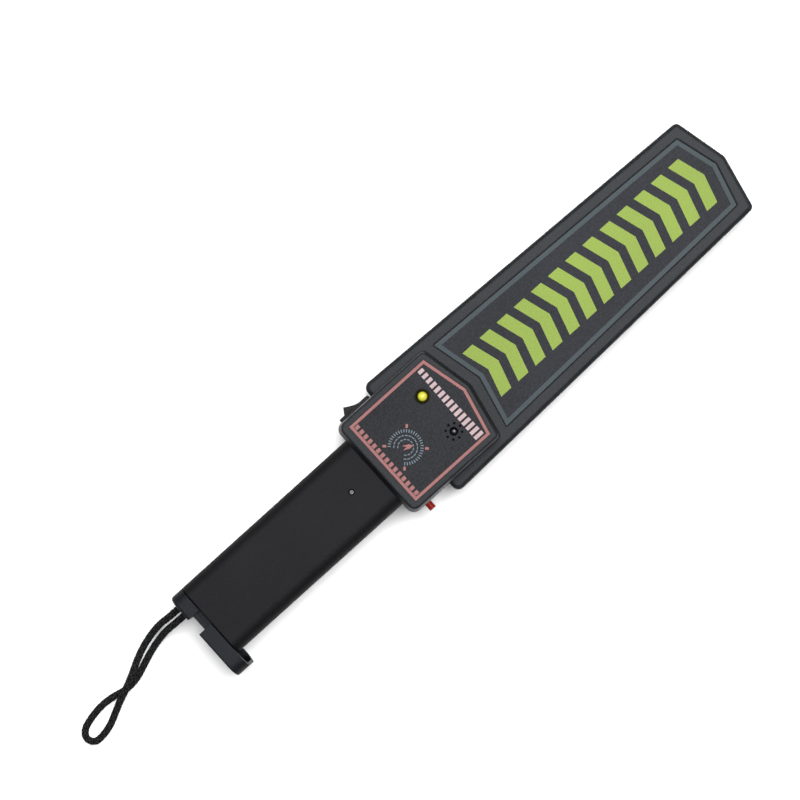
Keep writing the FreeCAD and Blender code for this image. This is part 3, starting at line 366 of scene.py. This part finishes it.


# in the first four looks, the last entry is the strength of the painted shade on the roundings
plastics = {
    "headPlastic": {"colour": linear(22, 25, 29), "contrast": 0.85, "grain": 0.001, "depth": 0.0002,
                    "clouds": 0.03, "rubs": 0.002, "rubGloss": 0.08, "rough": 0.5, "gloss": 0.17,
                    "roundingPaintedShade": 0.7},
    "handlePlastic": {"colour": linear(19, 19, 22), "contrast": 0.6, "grain": 0.0009, "depth": 0.00005,
                      "clouds": 0.04, "rubs": 0.002, "rubGloss": 0.1, "rough": 0.6, "gloss": 0.09,
                      "roundingPaintedShade": 0.7},
    "capPlastic": {"colour": linear(23, 25, 30), "contrast": 0.6, "grain": 0.0008, "depth": 0.00006,
                   "clouds": 0.03, "rubs": 0.0015, "rubGloss": 0.1, "rough": 0.5, "gloss": 0.09,
                   "roundingPaintedShade": 0.7},
    "switchPlastic": {"colour": linear(17, 17, 20), "contrast": 0.3, "grain": 0.0006, "depth": 0.00002,
                      "clouds": 0.02, "rubs": 0.0015, "rubGloss": 0.08, "rough": 0.42, "gloss": 0.08},
    "buttonPlastic": {"colour": linear(120, 14, 7), "contrast": 0.14, "grain": 0.0005, "depth": 0.00001,
                      "clouds": 0.006, "rubs": 0.001, "rubGloss": 0.08, "rough": 0.36, "gloss": 0.12},
    "holderPlastic": {"colour": linear(9, 9, 10), "contrast": 0.15, "grain": 0.0005, "depth": 0.00001,
                      "clouds": 0.01, "rubs": 0.001, "rubGloss": 0.08, "rough": 0.4, "gloss": 0.12},
    "componentPlastic": {"colour": linear(13, 13, 14), "contrast": 0.2, "grain": 0.0004, "depth": 0.00002,
                         "clouds": 0.01, "rubs": 0.001, "rubGloss": 0.05, "rough": 0.55, "gloss": 0.08},
    "formerPlastic": {"colour": linear(152, 147, 135), "contrast": 0.08, "grain": 0.0006, "depth": 0.00002,
                      "clouds": 0.02, "rubs": 0.002, "rubGloss": 0.05, "rough": 0.5, "gloss": 0.3},
    "leadInsulation": {"colour": linear(110, 20, 16), "contrast": 0.1, "grain": 0.0006, "depth": 0.00001,
                       "clouds": 0.01, "rubs": 0.001, "rubGloss": 0.05, "rough": 0.42, "gloss": 0.3},
    "batteryCase": {"colour": linear(70, 77, 88), "contrast": 0.12, "grain": 0.0007, "depth": 0.00001,
                    "clouds": 0.02, "rubs": 0.002, "rubGloss": 0.1, "rough": 0.36, "gloss": 0.3},
}


filmForm = {"stippleDetail": 2.0, "stippleRoughness": 0.6, "stippleShare": 0.75, "stippleGloss": 0.12,
            "stippleDepth": 0.00005, "clouds": 0.05, "cloudDetail": 2.0, "cloudGloss": 0.06}


def printedFilm(name, look, form):
    # polyester film with a velvet front: a fine even stipple over the printed colour
    material, tree = startMaterial(name)
    coordinates = tree.add("ShaderNodeTexCoord").out("Object")
    stipple = noise(tree, coordinates, look["stipple"], form["stippleDetail"], form["stippleRoughness"])
    clouds = noise(tree, coordinates, form["clouds"], form["cloudDetail"])
    tone = mottled(stipple, clouds, form["stippleShare"])
    colour = mixColours(tree, tone, scaled(look["colour"], 1 - look["contrast"]),
                        scaled(look["colour"], 1 + look["contrast"]))
    rough = (stipple - 0.5) * form["stippleGloss"] + (clouds - 0.5) * form["cloudGloss"] + look["rough"]
    normal = tree.add("ShaderNodeBump", {}, {
        "Strength": 1.0, "Distance": form["stippleDepth"], "Height": stipple})
    shader = tree.add("ShaderNodeBsdfPrincipled", {}, {
        "Base Color": colour.out(2), "Roughness": rough, "Normal": normal,
        "Specular IOR Level": look["gloss"]})
    finishMaterial(tree, shader)
    return material


films = {
    "fieldFilm": {"colour": linear(25, 27, 32), "contrast": 0.8, "stipple": 0.001, "rough": 0.54,
                  "gloss": 0.12},
    "fieldBorderInk": {"colour": linear(52, 60, 64), "contrast": 0.24, "stipple": 0.0008, "rough": 0.54,
                       "gloss": 0.12},
    # painted shadow: near-black band along the field label's outer edge, standing in for the shade in the
    # gap round the label
    "shadowGapPaint": {"colour": linear(12, 14, 17), "contrast": 0.2, "stipple": 0.0008, "rough": 0.6,
               "gloss": 0.06},
    "fieldMarkInk": {"colour": linear(115, 134, 58), "contrast": 0.16, "stipple": 0.0008, "rough": 0.54,
                     "gloss": 0.12},
    "panelFilm": {"colour": linear(28, 29, 33), "contrast": 0.8, "stipple": 0.0009, "rough": 0.54,
                  "gloss": 0.1},
    "panelBorderInk": {"colour": linear(130, 88, 87), "contrast": 0.16, "stipple": 0.0006, "rough": 0.54,
                       "gloss": 0.1},
    "panelLightInk": {"colour": linear(158, 138, 141), "contrast": 0.14, "stipple": 0.0006, "rough": 0.54,
                      "gloss": 0.1},
    "panelScaleInk": {"colour": linear(90, 102, 110), "contrast": 0.14, "stipple": 0.0006, "rough": 0.54,
                      "gloss": 0.1},
}


metalForm = {"brushStretch": (0.1, 1.0, 1.0), "brushDetail": 3.0, "brushRoughness": 0.7, "brushGloss": 0.18,
             "brushStrength": 0.6, "brushDepth": 0.00001, "patchDetail": 3.0, "patchGloss": 0.2,
             "dull": 0.8, "bright": 1.15}


def metal(name, look, form):
    # drawn or pressed metal, brushed along X, with dull patches
    material, tree = startMaterial(name)
    coordinates = tree.add("ShaderNodeTexCoord").out("Object")
    stretched = tree.add("ShaderNodeMapping", {}, {"Vector": coordinates, "Scale": form["brushStretch"]})
    brush = noise(tree, stretched, look["brush"], form["brushDetail"], form["brushRoughness"])
    patches = noise(tree, coordinates, look["patches"], form["patchDetail"])
    colour = mixColours(tree, patches, scaled(look["colour"], form["dull"]),
                        scaled(look["colour"], form["bright"]))
    rough = (brush - 0.5) * form["brushGloss"] + (patches - 0.5) * form["patchGloss"] + look["rough"]
    normal = tree.add("ShaderNodeBump", {}, {
        "Strength": form["brushStrength"], "Distance": form["brushDepth"], "Height": brush})
    shader = tree.add("ShaderNodeBsdfPrincipled", {}, {
        "Base Color": colour.out(2), "Roughness": rough, "Metallic": 1.0, "Normal": normal})
    finishMaterial(tree, shader)
    return material


metals = {
    "platedSteel": {"colour": (0.38, 0.39, 0.4, 1), "brush": 0.0003, "patches": 0.002, "rough": 0.34},
    "trimmerMetal": {"colour": (0.07, 0.07, 0.075, 1), "brush": 0.0003, "patches": 0.001, "rough": 0.4},
    "diaphragmMetal": {"colour": (0.06, 0.06, 0.065, 1), "brush": 0.0003, "patches": 0.001, "rough": 0.36},
    "contactMetal": {"colour": (0.5, 0.41, 0.23, 1), "brush": 0.0003, "patches": 0.002, "rough": 0.3},
    "crimpMetal": {"colour": (0.45, 0.34, 0.16, 1), "brush": 0.0004, "patches": 0.003, "rough": 0.36},
    "coilCopper": {"colour": (0.45, 0.19, 0.09, 1), "brush": 0.0004, "patches": 0.002, "rough": 0.34},
}


strapYarn = {
    "twistsPerMetre": 2600,
    "plies": 6,
    "fuzz": 0.00035,
    "depth": 0.00006,
    "fuzzDetail": 3.0, "fuzzRoughness": 0.7, "fuzzShare": 0.9, "fuzzGloss": 0.14, "yarnShare": 0.5,
    "strandShadeFall": 1.6,    # how fast the painted shade darkens a strand towards its edges
    "rough": 0.82, "gloss": 0.04,
    "shade": linear(1, 1, 2),
    "light": linear(46, 46, 47),
}


def strapFabric(name, look):
    # twisted yarn and fuzz in each strand, with painted shade that darkens each strand towards its edges
    material, tree = startMaterial(name)
    uv = tree.add("ShaderNodeTexCoord").out("UV")
    parts = tree.add("ShaderNodeSeparateXYZ", {}, {"Vector": uv})
    turns = parts.out("X") * look["twistsPerMetre"] + parts.out("Y") * look["plies"]
    yarn = (turns * (2 * math.pi)).math("SINE") * 0.5 + 0.5
    coordinates = tree.add("ShaderNodeTexCoord").out("Object")
    fuzz = noise(tree, coordinates, look["fuzz"], look["fuzzDetail"], look["fuzzRoughness"])
    # painted shade: a strand is lit across its outer face and darkens towards its edges and round its inner
    # half; the core, at girth 0, stays in the shade colour
    strandLitCrown = (parts.out("Y") * (2 * math.pi)).math("SINE").clamped().math("POWER", look["strandShadeFall"])
    tone = strandLitCrown * (yarn * look["yarnShare"] + fuzz * look["fuzzShare"])
    colour = mixColours(tree, tone, look["shade"], look["light"])
    normal = tree.add("ShaderNodeBump", {}, {"Strength": 1.0, "Distance": look["depth"], "Height": tone})
    shader = tree.add("ShaderNodeBsdfPrincipled", {}, {
        "Base Color": colour.out(2), "Roughness": look["rough"] - fuzz * look["fuzzGloss"],
        "Normal": normal, "Specular IOR Level": look["gloss"]})
    finishMaterial(tree, shader)
    return material


lens = {
    "milk": 0.0012, "milkDetail": 2.0,
    "shade": linear(160, 156, 44), "light": linear(188, 186, 74),
    "glowShade": linear(120, 117, 14), "glowLight": linear(150, 147, 28), "glow": 0.42,
    "rough": 0.2, "milkGloss": 0.08, "gloss": 0.5,
    "depthShare": 0.3, "depth": (0.002, 0.002, 0.0006),
}


def lampLens(name, look):
    # diffused lens: milky, lit from inside
    material, tree = startMaterial(name)
    coordinates = tree.add("ShaderNodeTexCoord").out("Object")
    milk = noise(tree, coordinates, look["milk"], look["milkDetail"])
    colour = mixColours(tree, milk, look["shade"], look["light"])
    glow = mixColours(tree, milk, look["glowShade"], look["glowLight"])
    shader = tree.add("ShaderNodeBsdfPrincipled", {}, {
        "Base Color": colour.out(2), "Emission Color": glow.out(2), "Emission Strength": look["glow"],
        "Roughness": look["rough"] + milk * look["milkGloss"], "Specular IOR Level": look["gloss"],
        "Subsurface Weight": look["depthShare"], "Subsurface Radius": look["depth"],
        "Subsurface Scale": 1.0})
    finishMaterial(tree, shader)
    return material


board = {"tracksPerMetre": 240, "trackEdge": 0.04, "trackEnd": 0.07, "trackDepth": 0.00003,
         "trackStrength": 0.5, "ground": linear(16, 66, 38), "track": linear(42, 96, 55),
         "rough": 0.28, "trackGloss": 0.06, "lacquer": 0.3}


def boardFibre(name, look):
    # green lacquer over copper tracks
    material, tree = startMaterial(name)
    coordinates = tree.add("ShaderNodeTexCoord").out("Object")
    tracks = tree.add("ShaderNodeTexVoronoi", {"distance": "CHEBYCHEV", "feature": "DISTANCE_TO_EDGE"},
                      {"Vector": coordinates, "Scale": look["tracksPerMetre"]})
    mask = ramp(tree, tracks.out("Distance"), look["trackEdge"], look["trackEnd"], 1.0, 0.0)
    colour = mixColours(tree, mask, look["ground"], look["track"])
    normal = tree.add("ShaderNodeBump", {}, {
        "Strength": look["trackStrength"], "Distance": look["trackDepth"], "Height": mask})
    shader = tree.add("ShaderNodeBsdfPrincipled", {}, {
        "Base Color": colour.out(2), "Roughness": look["rough"] + mask * look["trackGloss"],
        "Normal": normal, "Coat Weight": look["lacquer"]})
    finishMaterial(tree, shader)
    return material


materials = {name: mouldedPlastic(name, look, plasticForm) for name, look in plastics.items()}
materials.update({name: printedFilm(name, look, filmForm) for name, look in films.items()})
materials.update({name: metal(name, look, metalForm) for name, look in metals.items()})
materials["strapFabric"] = strapFabric("strapFabric", strapYarn)
materials["lampLens"] = lampLens("lampLens", lens)
materials["boardFibre"] = boardFibre("boardFibre", board)
print("materials made,", len(materials))


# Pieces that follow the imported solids: the same walls and hollows, with softened edges

bodyOf = {node: body for body, nodes in frame["record"]["behaviour"]["bodies"].items() for node in nodes}


def putOn(piece, body, material, replaced=()):
    piece.data.materials.clear()
    piece.data.materials.append(materials[material])
    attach(piece, body)
    if replaced:
        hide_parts(*replaced)
    return piece


def plainMesh(piece):
    # the piece with its modifiers worked into one plain mesh
    graph = bpy.context.evaluated_depsgraph_get()
    mesh = bpy.data.meshes.new_from_object(piece.evaluated_get(graph), preserve_all_data_layers=True,
                                           depsgraph=graph)
    mesh.validate()     # takes out the doubled faces that a screw's recess is cut with
    piece.modifiers.clear()
    piece.data = mesh
    return piece


weldDistance = 0.000002
flatAngle = math.radians(0.2)


def weldedSolid(node, wholeFaces=True):
    # a node's solid, welded, and with its flat triangles joined to whole faces
    builder = bmesh.new()
    builder.from_mesh(frame["nodes"][node].data)
    bmesh.ops.remove_doubles(builder, verts=builder.verts, dist=weldDistance)
    if wholeFaces:
        bmesh.ops.dissolve_limit(builder, angle_limit=flatAngle, verts=builder.verts, edges=builder.edges)
    return builder


def softened(node, name, width, segments=2, angle=32):
    # a copy of a node's solid with its sharp edges rounded over
    mesh = frame["nodes"][node].data.copy()
    mesh.name = name
    builder = weldedSolid(node)
    builder.to_mesh(mesh)
    builder.free()
    for attribute in [a.name for a in mesh.attributes if a.name.startswith("custom_normal")]:
        mesh.attributes.remove(mesh.attributes[attribute])
    mesh.shade_smooth()
    mesh.set_sharp_from_angle(angle=math.radians(angle))
    piece = bpy.data.objects.new(name, mesh)
    collection.objects.link(piece)
    bevel = piece.modifiers.new("edges", "BEVEL")
    bevel.limit_method = "ANGLE"
    bevel.angle_limit = math.radians(angle)
    bevel.width = width
    bevel.segments = segments
    bevel.use_clamp_overlap = True
    bevel.harden_normals = True
    weighted = piece.modifiers.new("shading", "WEIGHTED_NORMAL")
    weighted.keep_sharp = True
    weighted.mode = "FACE_AREA"
    return plainMesh(piece)


shells = [
    ("head_front_shell", "headFrontShell", 0.00025, "headPlastic"),
    ("head_back_shell", "headBackShell", 0.00025, "headPlastic"),
    ("handle_front_shell", "handleFrontShell", 0.00025, "handlePlastic"),
    ("handle_back_shell", "handleBackShell", 0.00025, "handlePlastic"),
    ("handle_end_plate", "handleEndPlate", 0.00022, "capPlastic"),
    ("battery_door", "batteryDoor", 0.00025, "capPlastic"),
    ("rocker_switch_body", "rockerSwitchBody", 0.00012, "switchPlastic"),
    ("power_rocker", "powerRocker", 0.0003, "switchPlastic"),
    ("side_button", "sideButton", 0.0001, "buttonPlastic"),
    ("lamp_holder", "lampHolder", 0.0001, "holderPlastic"),
    ("indicator_lamp", "indicatorLamp", 0.00008, "lampLens"),
    ("trimmer_screw", "trimmerScrew", 0.00008, "trimmerMetal"),
    ("head_label", "headLabel", 0.00008, "fieldFilm"),
    ("control_label", "controlLabel", 0.00006, "panelFilm"),
]
for node, name, width, material in shells:
    piece = softened(node, name, width)
    putOn(piece, bodyOf[node], material, [node])
    print(name, len(piece.data.polygons), "faces")


# Prints on the two labels, and a painted shadow along the field label's edge

labelSides = {"shortest": 0.004, "levelWithin": 0.00001, "wallUpright": 0.5}


def labelCorners(node, form):
    # the sharp corners of a label's outline, where its straight edges would meet
    builder = weldedSolid(node)
    top = max(vertex.co.z for vertex in builder.verts)
    sides = []
    for edge in builder.edges:
        level = all(abs(vertex.co.z - top) < form["levelWithin"] for vertex in edge.verts)
        rim = any(abs(face.normal.z) < form["wallUpright"] for face in edge.link_faces)
        if level and rim and edge.calc_length() > form["shortest"]:
            sides.append((edge.verts[0].co.xy.copy(), edge.verts[1].co.xy.copy()))
    builder.free()
    middle = sum((start + end for start, end in sides), Vector((0, 0))) / (2 * len(sides))
    sides.sort(key=lambda side: math.atan2(*((side[0] + side[1]) / 2 - middle).yx))
    corners = []
    for index, (start, end) in enumerate(sides):
        before = sides[index - 1]
        across = end - start
        beforeWay = before[1] - before[0]
        share = (start - before[0]).cross(across) / beforeWay.cross(across)
        corners.append(before[0] + beforeWay * share)
    return corners, top


def insetCorners(corners, inset):
    # corners run counter-clockwise; each side moves inwards by the inset
    moved = []
    for index, corner in enumerate(corners):
        into = (corner - corners[index - 1]).normalized()
        out = (corners[(index + 1) % len(corners)] - corner).normalized()
        inward = Vector((-into.y - out.y, into.x + out.x))
        moved.append(corner + inward * (inset / (1 + into.dot(out))))
    return moved


def printedRing(name, corners, outer, inner, low, thickness):
    # a flat printed band between two insets of one outline
    builder = bmesh.new()
    loops = []
    for height in (low, low + thickness):
        for inset in (outer, inner):
            loops.append([builder.verts.new((x, y, height)) for x, y in insetCorners(corners, inset)])
    lowOuter, lowInner, topOuter, topInner = loops
    count = len(corners)
    for index in range(count):
        following = (index + 1) % count
        for first, second in ((topOuter, topInner), (lowInner, lowOuter), (lowOuter, topOuter),
                              (topInner, lowInner)):
            builder.faces.new((first[index], first[following], second[following], second[index]))
    bmesh.ops.recalc_face_normals(builder, faces=builder.faces)
    mesh = bpy.data.meshes.new(name)
    builder.to_mesh(mesh)
    builder.free()
    piece = bpy.data.objects.new(name, mesh)
    collection.objects.link(piece)
    return piece


def geometryTree(name, inputs):
    # an empty tree of geometry nodes, with a wire from each named input
    group = bpy.data.node_groups.new(name, "GeometryNodeTree")
    group.interface.new_socket("Geometry", in_out="OUTPUT", socket_type="NodeSocketGeometry")
    inputs = {"Geometry": "Geometry"} | inputs
    for label, kind in inputs.items():
        group.interface.new_socket(label, in_out="INPUT", socket_type="NodeSocket" + kind)
    tree = Tree(group)
    entry = group.nodes.new("NodeGroupInput")
    return group, tree, {label: Wire(tree, entry.outputs[label]) for label in inputs}


def endGeometry(tree, geometry, material):
    real = tree.add("GeometryNodeRealizeInstances", {}, {"Geometry": geometry})
    inked = tree.add("GeometryNodeSetMaterial", {}, {"Geometry": real, "Material": material})
    tree.add("NodeGroupOutput", {}, {"Geometry": inked})


def vector(tree, x, y, z):
    return tree.add("ShaderNodeCombineXYZ", {}, {"X": x, "Y": y, "Z": z})


def laidOut(name, group, values, vertices=()):
    # one plain mesh from a tree and the values of its inputs
    mesh = bpy.data.meshes.new(name)
    mesh.from_pydata(vertices, [], [])
    piece = bpy.data.objects.new(name, mesh)
    collection.objects.link(piece)
    modifier = piece.modifiers.new(name, "NODES")
    modifier.node_group = group
    sockets = {item.name: item.identifier for item in group.interface.items_tree if item.in_out == "INPUT"}
    for label, value in values.items():
        modifier[sockets[label]] = value
    return plainMesh(piece)


def makeMarkTree():
    # equal slabs in a row or on an arc, bent to a chevron or growing along the row
    group, tree, wires = geometryTree("marks", {
        "Count": "Int", "Start": "Vector", "Step": "Vector", "First Turn": "Float", "Turn Step": "Float",
        "Reach": "Float", "Width": "Float", "Length": "Float", "Growth": "Float", "Bend": "Float",
        "Thickness": "Float", "Material": "Material"})
    size = vector(tree, wires["Width"], wires["Length"], wires["Thickness"])
    slab = tree.add("GeometryNodeMeshCube", {}, {"Size": size, "Vertices Y": 3})
    place = tree.add("ShaderNodeSeparateXYZ", {}, {"Vector": tree.add("GeometryNodeInputPosition")})
    swept = wires["Reach"] - place.out("Y").math("ABSOLUTE") * wires["Bend"]
    offset = vector(tree, swept, 0.0, wires["Thickness"] * 0.5)
    mark = tree.add("GeometryNodeSetPosition", {}, {"Geometry": slab, "Offset": offset})
    row = tree.add("GeometryNodeMeshLine", {}, {
        "Count": wires["Count"], "Start Location": wires["Start"], "Offset": wires["Step"]})
    index = tree.add("GeometryNodeInputIndex")
    turn = tree.add("FunctionNodeEulerToRotation", {}, {
        0: vector(tree, 0.0, 0.0, wires["First Turn"] + index * wires["Turn Step"])})
    grown = vector(tree, 1.0, index * wires["Growth"] + 1.0, 1.0)
    marks = tree.add("GeometryNodeInstanceOnPoints", {}, {
        "Points": row, "Instance": mark, "Rotation": turn, "Scale": grown})
    endGeometry(tree, marks, wires["Material"])
    return group


inkThickness = 0.00005
# the first inset bounds the painted shadow along the label's edge; the other two bound the printed border
fieldPrint = {"shadowGapOuter": 0.00005, "borderOuter": 0.0006, "borderInner": 0.0032}
panelPrint = {"borderOuter": 0.0001, "borderInner": 0.0018}

fieldCorners, fieldTop = labelCorners("head_label", labelSides)
panelCorners, panelTop = labelCorners("control_label", labelSides)
fieldBorder = printedRing("fieldBorder", fieldCorners, fieldPrint["borderOuter"], fieldPrint["borderInner"],
                          fieldTop, inkThickness)
putOn(fieldBorder, "wand", "fieldBorderInk")
# painted shadow along the field label's edge, not a print
fieldEdgeShadow = printedRing("fieldEdgeShadow", fieldCorners, fieldPrint["shadowGapOuter"], fieldPrint["borderOuter"],
                       fieldTop, inkThickness)
putOn(fieldEdgeShadow, "wand", "shadowGapPaint")
panelBorder = printedRing("panelBorder", panelCorners, panelPrint["borderOuter"], panelPrint["borderInner"],
                          panelTop, inkThickness)
putOn(panelBorder, "wand", "panelBorderInk")

quarter = math.pi / 2
dialStart = -1.5 * quarter
dialPlace = (-0.0436, -0.0018, panelTop)
dialRing = {"slot": "panel_film", "ink": "panelScaleInk", "Start": dialPlace, "Step": (0, 0, 0),
            "First Turn": dialStart}
marks = {
    # chevrons that point along the search field
    "fieldChevrons": {
        "slot": "label_film", "ink": "fieldMarkInk", "Count": 13, "Start": (0.0255, 0, fieldTop),
        "Step": (0.0133, 0, 0), "Width": 0.0078, "Length": 0.0336, "Bend": 0.3},
    # bars of a growing level along the panel's roof, and dashes along its lower edge
    "levelBars": {
        "slot": "panel_film", "ink": "panelLightInk", "Count": 15, "Start": (-0.0079, 0.0246, panelTop),
        "Step": (0, -0.003514, 0), "First Turn": quarter, "Width": 0.0022, "Length": 0.0036, "Growth": 0.05},
    "edgeDashes": {
        "slot": "panel_film", "ink": "panelBorderInk", "Count": 15, "Start": (-0.0565, 0.0252, panelTop),
        "Step": (0, -0.0036, 0), "Width": 0.0028, "Length": 0.0022},
    # the dial: ticks round two inner rings of dashes, long stops, and a pointer
    "dialTicks": dialRing | {
        "Count": 31, "Turn Step": quarter / 10, "Reach": 0.0095, "Width": 0.0018, "Length": 0.0006},
    "dialMiddle": dialRing | {
        "Count": 16, "Turn Step": quarter / 5, "Reach": 0.0068, "Width": 0.0006, "Length": 0.0016},
    "dialInner": dialRing | {
        "Count": 11, "Turn Step": quarter * 0.3, "Reach": 0.0045, "Width": 0.0006, "Length": 0.0015},
    "dialStops": dialRing | {
        "ink": "panelBorderInk", "Count": 4, "Turn Step": quarter, "Reach": 0.0122, "Width": 0.0022,
        "Length": 0.0014},
    "dialPointer": dialRing | {
        "ink": "panelBorderInk", "Count": 1, "First Turn": -0.5, "Reach": 0.0026, "Width": 0.004,
        "Length": 0.0026, "Bend": 1.9},
}
markTree = makeMarkTree()
for name, look in marks.items():
    values = {label: value for label, value in look.items() if label not in ("slot", "ink")}
    values.update({"Thickness": inkThickness, "Material": materials[look["ink"]]})
    for label in ("First Turn", "Turn Step", "Reach", "Growth", "Bend"):
        values.setdefault(label, 0.0)
    piece = laidOut(name, markTree, values)
    putOn(piece, "wand", look["ink"])
    print(name, len(piece.data.polygons), "faces")


# Screws in the back: pan heads with a cross recess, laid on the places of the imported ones

screwForm = {
    "sides": 48, "domeRings": 24, "shankSides": 32, "recessReachShare": 1.1,
    # shares of the head's height: the rim's own, half the dome's, and the crown's place before the seat
    "rimShare": 0.5, "domeShare": 0.5, "crownShare": 0.75,
}


def makeScrewTree(form):
    group, tree, wires = geometryTree("screws", {
        "Head Radius": "Float", "Head Height": "Float", "Shank Radius": "Float",
        "Shank Length": "Float", "Recess Width": "Float", "Recess Depth": "Float", "Material": "Material"})
    headHeight, radius = wires["Head Height"], wires["Head Radius"]
    rim = tree.add("GeometryNodeMeshCylinder", {}, {
        "Vertices": form["sides"], "Radius": radius, "Depth": headHeight * form["rimShare"]})
    dome = tree.add("GeometryNodeMeshUVSphere", {}, {
        "Segments": form["sides"], "Rings": form["domeRings"], "Radius": radius})
    flat = tree.add("GeometryNodeTransform", {}, {
        "Geometry": dome,
        "Translation": vector(tree, 0.0, 0.0, headHeight * (form["domeShare"] - form["crownShare"])),
        "Scale": vector(tree, 1.0, 1.0, headHeight / radius * form["domeShare"])})
    shank = tree.add("GeometryNodeMeshCylinder", {}, {
        "Vertices": form["shankSides"], "Radius": wires["Shank Radius"], "Depth": wires["Shank Length"]})
    shank = tree.add("GeometryNodeTransform", {}, {
        "Geometry": shank, "Translation": vector(tree, 0.0, 0.0, wires["Shank Length"] * 0.5)})
    solid = tree.add("GeometryNodeMeshBoolean", {"operation": "UNION", "solver": "EXACT"}, {})
    for part in (rim, flat, shank):
        tree.nodeTree.links.new(part.socket, solid.socket.node.inputs["Mesh 2"])
    recess = []
    for turned in (0.0, 1.0):
        width = wires["Recess Width"]
        length = radius * form["recessReachShare"]
        bar = tree.add("GeometryNodeMeshCube", {}, {
            "Size": vector(tree, length * turned + width * (1 - turned),
                           length * (1 - turned) + width * turned, wires["Recess Depth"] * 2)})
        recess.append(tree.add("GeometryNodeTransform", {}, {
            "Geometry": bar, "Translation": vector(tree, 0.0, 0.0, headHeight * -form["crownShare"])}))
    cut = tree.add("GeometryNodeMeshBoolean", {"operation": "DIFFERENCE", "solver": "EXACT"},
                   {"Mesh 1": solid})
    for part in recess:
        tree.nodeTree.links.new(part.socket, cut.socket.node.inputs["Mesh 2"])
    placed = tree.add("GeometryNodeInstanceOnPoints", {}, {"Points": wires["Geometry"], "Instance": cut})
    endGeometry(tree, placed, wires["Material"])
    return group


screwSizes = {"Head Radius": 0.0027, "Head Height": 0.002, "Shank Radius": 0.00125, "Recess Width": 0.0009,
              "Recess Depth": 0.0012}


def screwPlaces(node):
    # the middle of each screw's seat, and the length of its shank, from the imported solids
    builder = weldedSolid(node, wholeFaces=False)
    left = set(builder.verts)
    places = []
    top = max(vertex.co.z for vertex in builder.verts)
    low = min(vertex.co.z for vertex in builder.verts)
    while left:
        island = [left.pop()]
        for vertex in island:
            for edge in vertex.link_edges:
                other = edge.other_vert(vertex)
                if other in left:
                    left.discard(other)
                    island.append(other)
        xs = [vertex.co.x for vertex in island]
        ys = [vertex.co.y for vertex in island]
        places.append(((min(xs) + max(xs)) / 2, (min(ys) + max(ys)) / 2, low + screwSizes["Head Height"]))
    builder.free()
    places.sort()
    return places, top - low - screwSizes["Head Height"]


screwTree = makeScrewTree(screwForm)
for node, name in (("head_screws", "headScrews"), ("handle_screws", "handleScrews")):
    places, shank = screwPlaces(node)
    values = {"Shank Length": shank, "Material": materials["platedSteel"]}
    values.update(screwSizes)
    piece = laidOut(name, screwTree, values, places)
    putOn(piece, "wand", "platedSteel", [node])
    print(name, len(places), "screws,", len(piece.data.polygons), "faces")


# Strap's finish

putOn(strapPiece, "wand", "strapFabric", ["wrist_strap"])


# Finishes of the solids that stay as they are

innerFinishes = {
    "battery": "batteryCase", "battery_clip": "componentPlastic", "battery_leads": "leadInsulation",
    "circuit_board": "boardFibre", "board_components": "componentPlastic", "lamp_leads": "contactMetal",
    "buzzer": "componentPlastic", "buzzer_diaphragm": "diaphragmMetal", "trimmer_body": "componentPlastic",
    "switch_terminals": "contactMetal", "button_plunger": "componentPlastic",
    "button_switch": "componentPlastic", "button_switch_pins": "contactMetal",
    "coil_former": "formerPlastic", "search_coil": "coilCopper", "coil_leads": "leadInsulation",
    "board_screws": "platedSteel", "strap_crimp": "crimpMetal",
}
for node, material in innerFinishes.items():
    mesh = frame["nodes"][node].data
    mesh.materials.clear()
    mesh.materials.append(materials[material])


# Floor and lights

studio = {
    "floorSize": 8.0,
    "floorDrop": 0.0001,
    "floorColour": (0.92, 0.92, 0.92, 1),
    "fibre": 0.003, "floorRough": 0.85, "fibreGloss": 0.1, "floorGloss": 0.1,
    "skyStrength": 0.5,
}
lamps = [
    # name, place, size, power in watts: one large disk above, and two small ones from the sides
    ("topLight", (0.5, 0.2, 2.25), 1.5, 84),
    ("sideLight", (-0.9, 1.9, 1.1), 0.9, 6),
    ("endLight", (1.9, -0.6, 1.2), 0.9, 6),
]


def makeFloor(size):
    builder = bmesh.new()
    half = size["floorSize"] / 2
    builder.faces.new([builder.verts.new((x * half, y * half, -size["floorDrop"]))
                       for x, y in ((-1, -1), (1, -1), (1, 1), (-1, 1))])
    mesh = bpy.data.meshes.new("floor")
    builder.to_mesh(mesh)
    builder.free()
    floor = bpy.data.objects.new("floor", mesh)
    collection.objects.link(floor)
    material, tree = startMaterial("floorPaper")
    coordinates = tree.add("ShaderNodeTexCoord").out("Object")
    fibres = noise(tree, coordinates, size["fibre"])
    shader = tree.add("ShaderNodeBsdfPrincipled", {}, {
        "Base Color": size["floorColour"], "Specular IOR Level": size["floorGloss"],
        "Roughness": size["floorRough"] + fibres * size["fibreGloss"]})
    finishMaterial(tree, shader)
    mesh.materials.append(material)


def makeLights(size, places):
    world = bpy.data.worlds.new("studio")
    bpy.context.scene.world = world
    world.use_nodes = True
    background = world.node_tree.nodes["Background"]
    background.inputs["Color"].default_value = (1, 1, 1, 1)
    background.inputs["Strength"].default_value = size["skyStrength"]
    for name, place, width, power in places:
        light = bpy.data.lights.new(name, "AREA")
        light.shape = "DISK"
        light.size = width
        light.energy = power
        holder = bpy.data.objects.new(name, light)
        collection.objects.link(holder)
        holder.location = place
        holder.rotation_mode = "QUATERNION"
        holder.rotation_quaternion = (-Vector(place)).to_track_quat("-Z", "Y")


makeFloor(studio)
makeLights(studio, lamps)
bpy.context.scene.view_settings.view_transform = "Standard"
print("studio set")
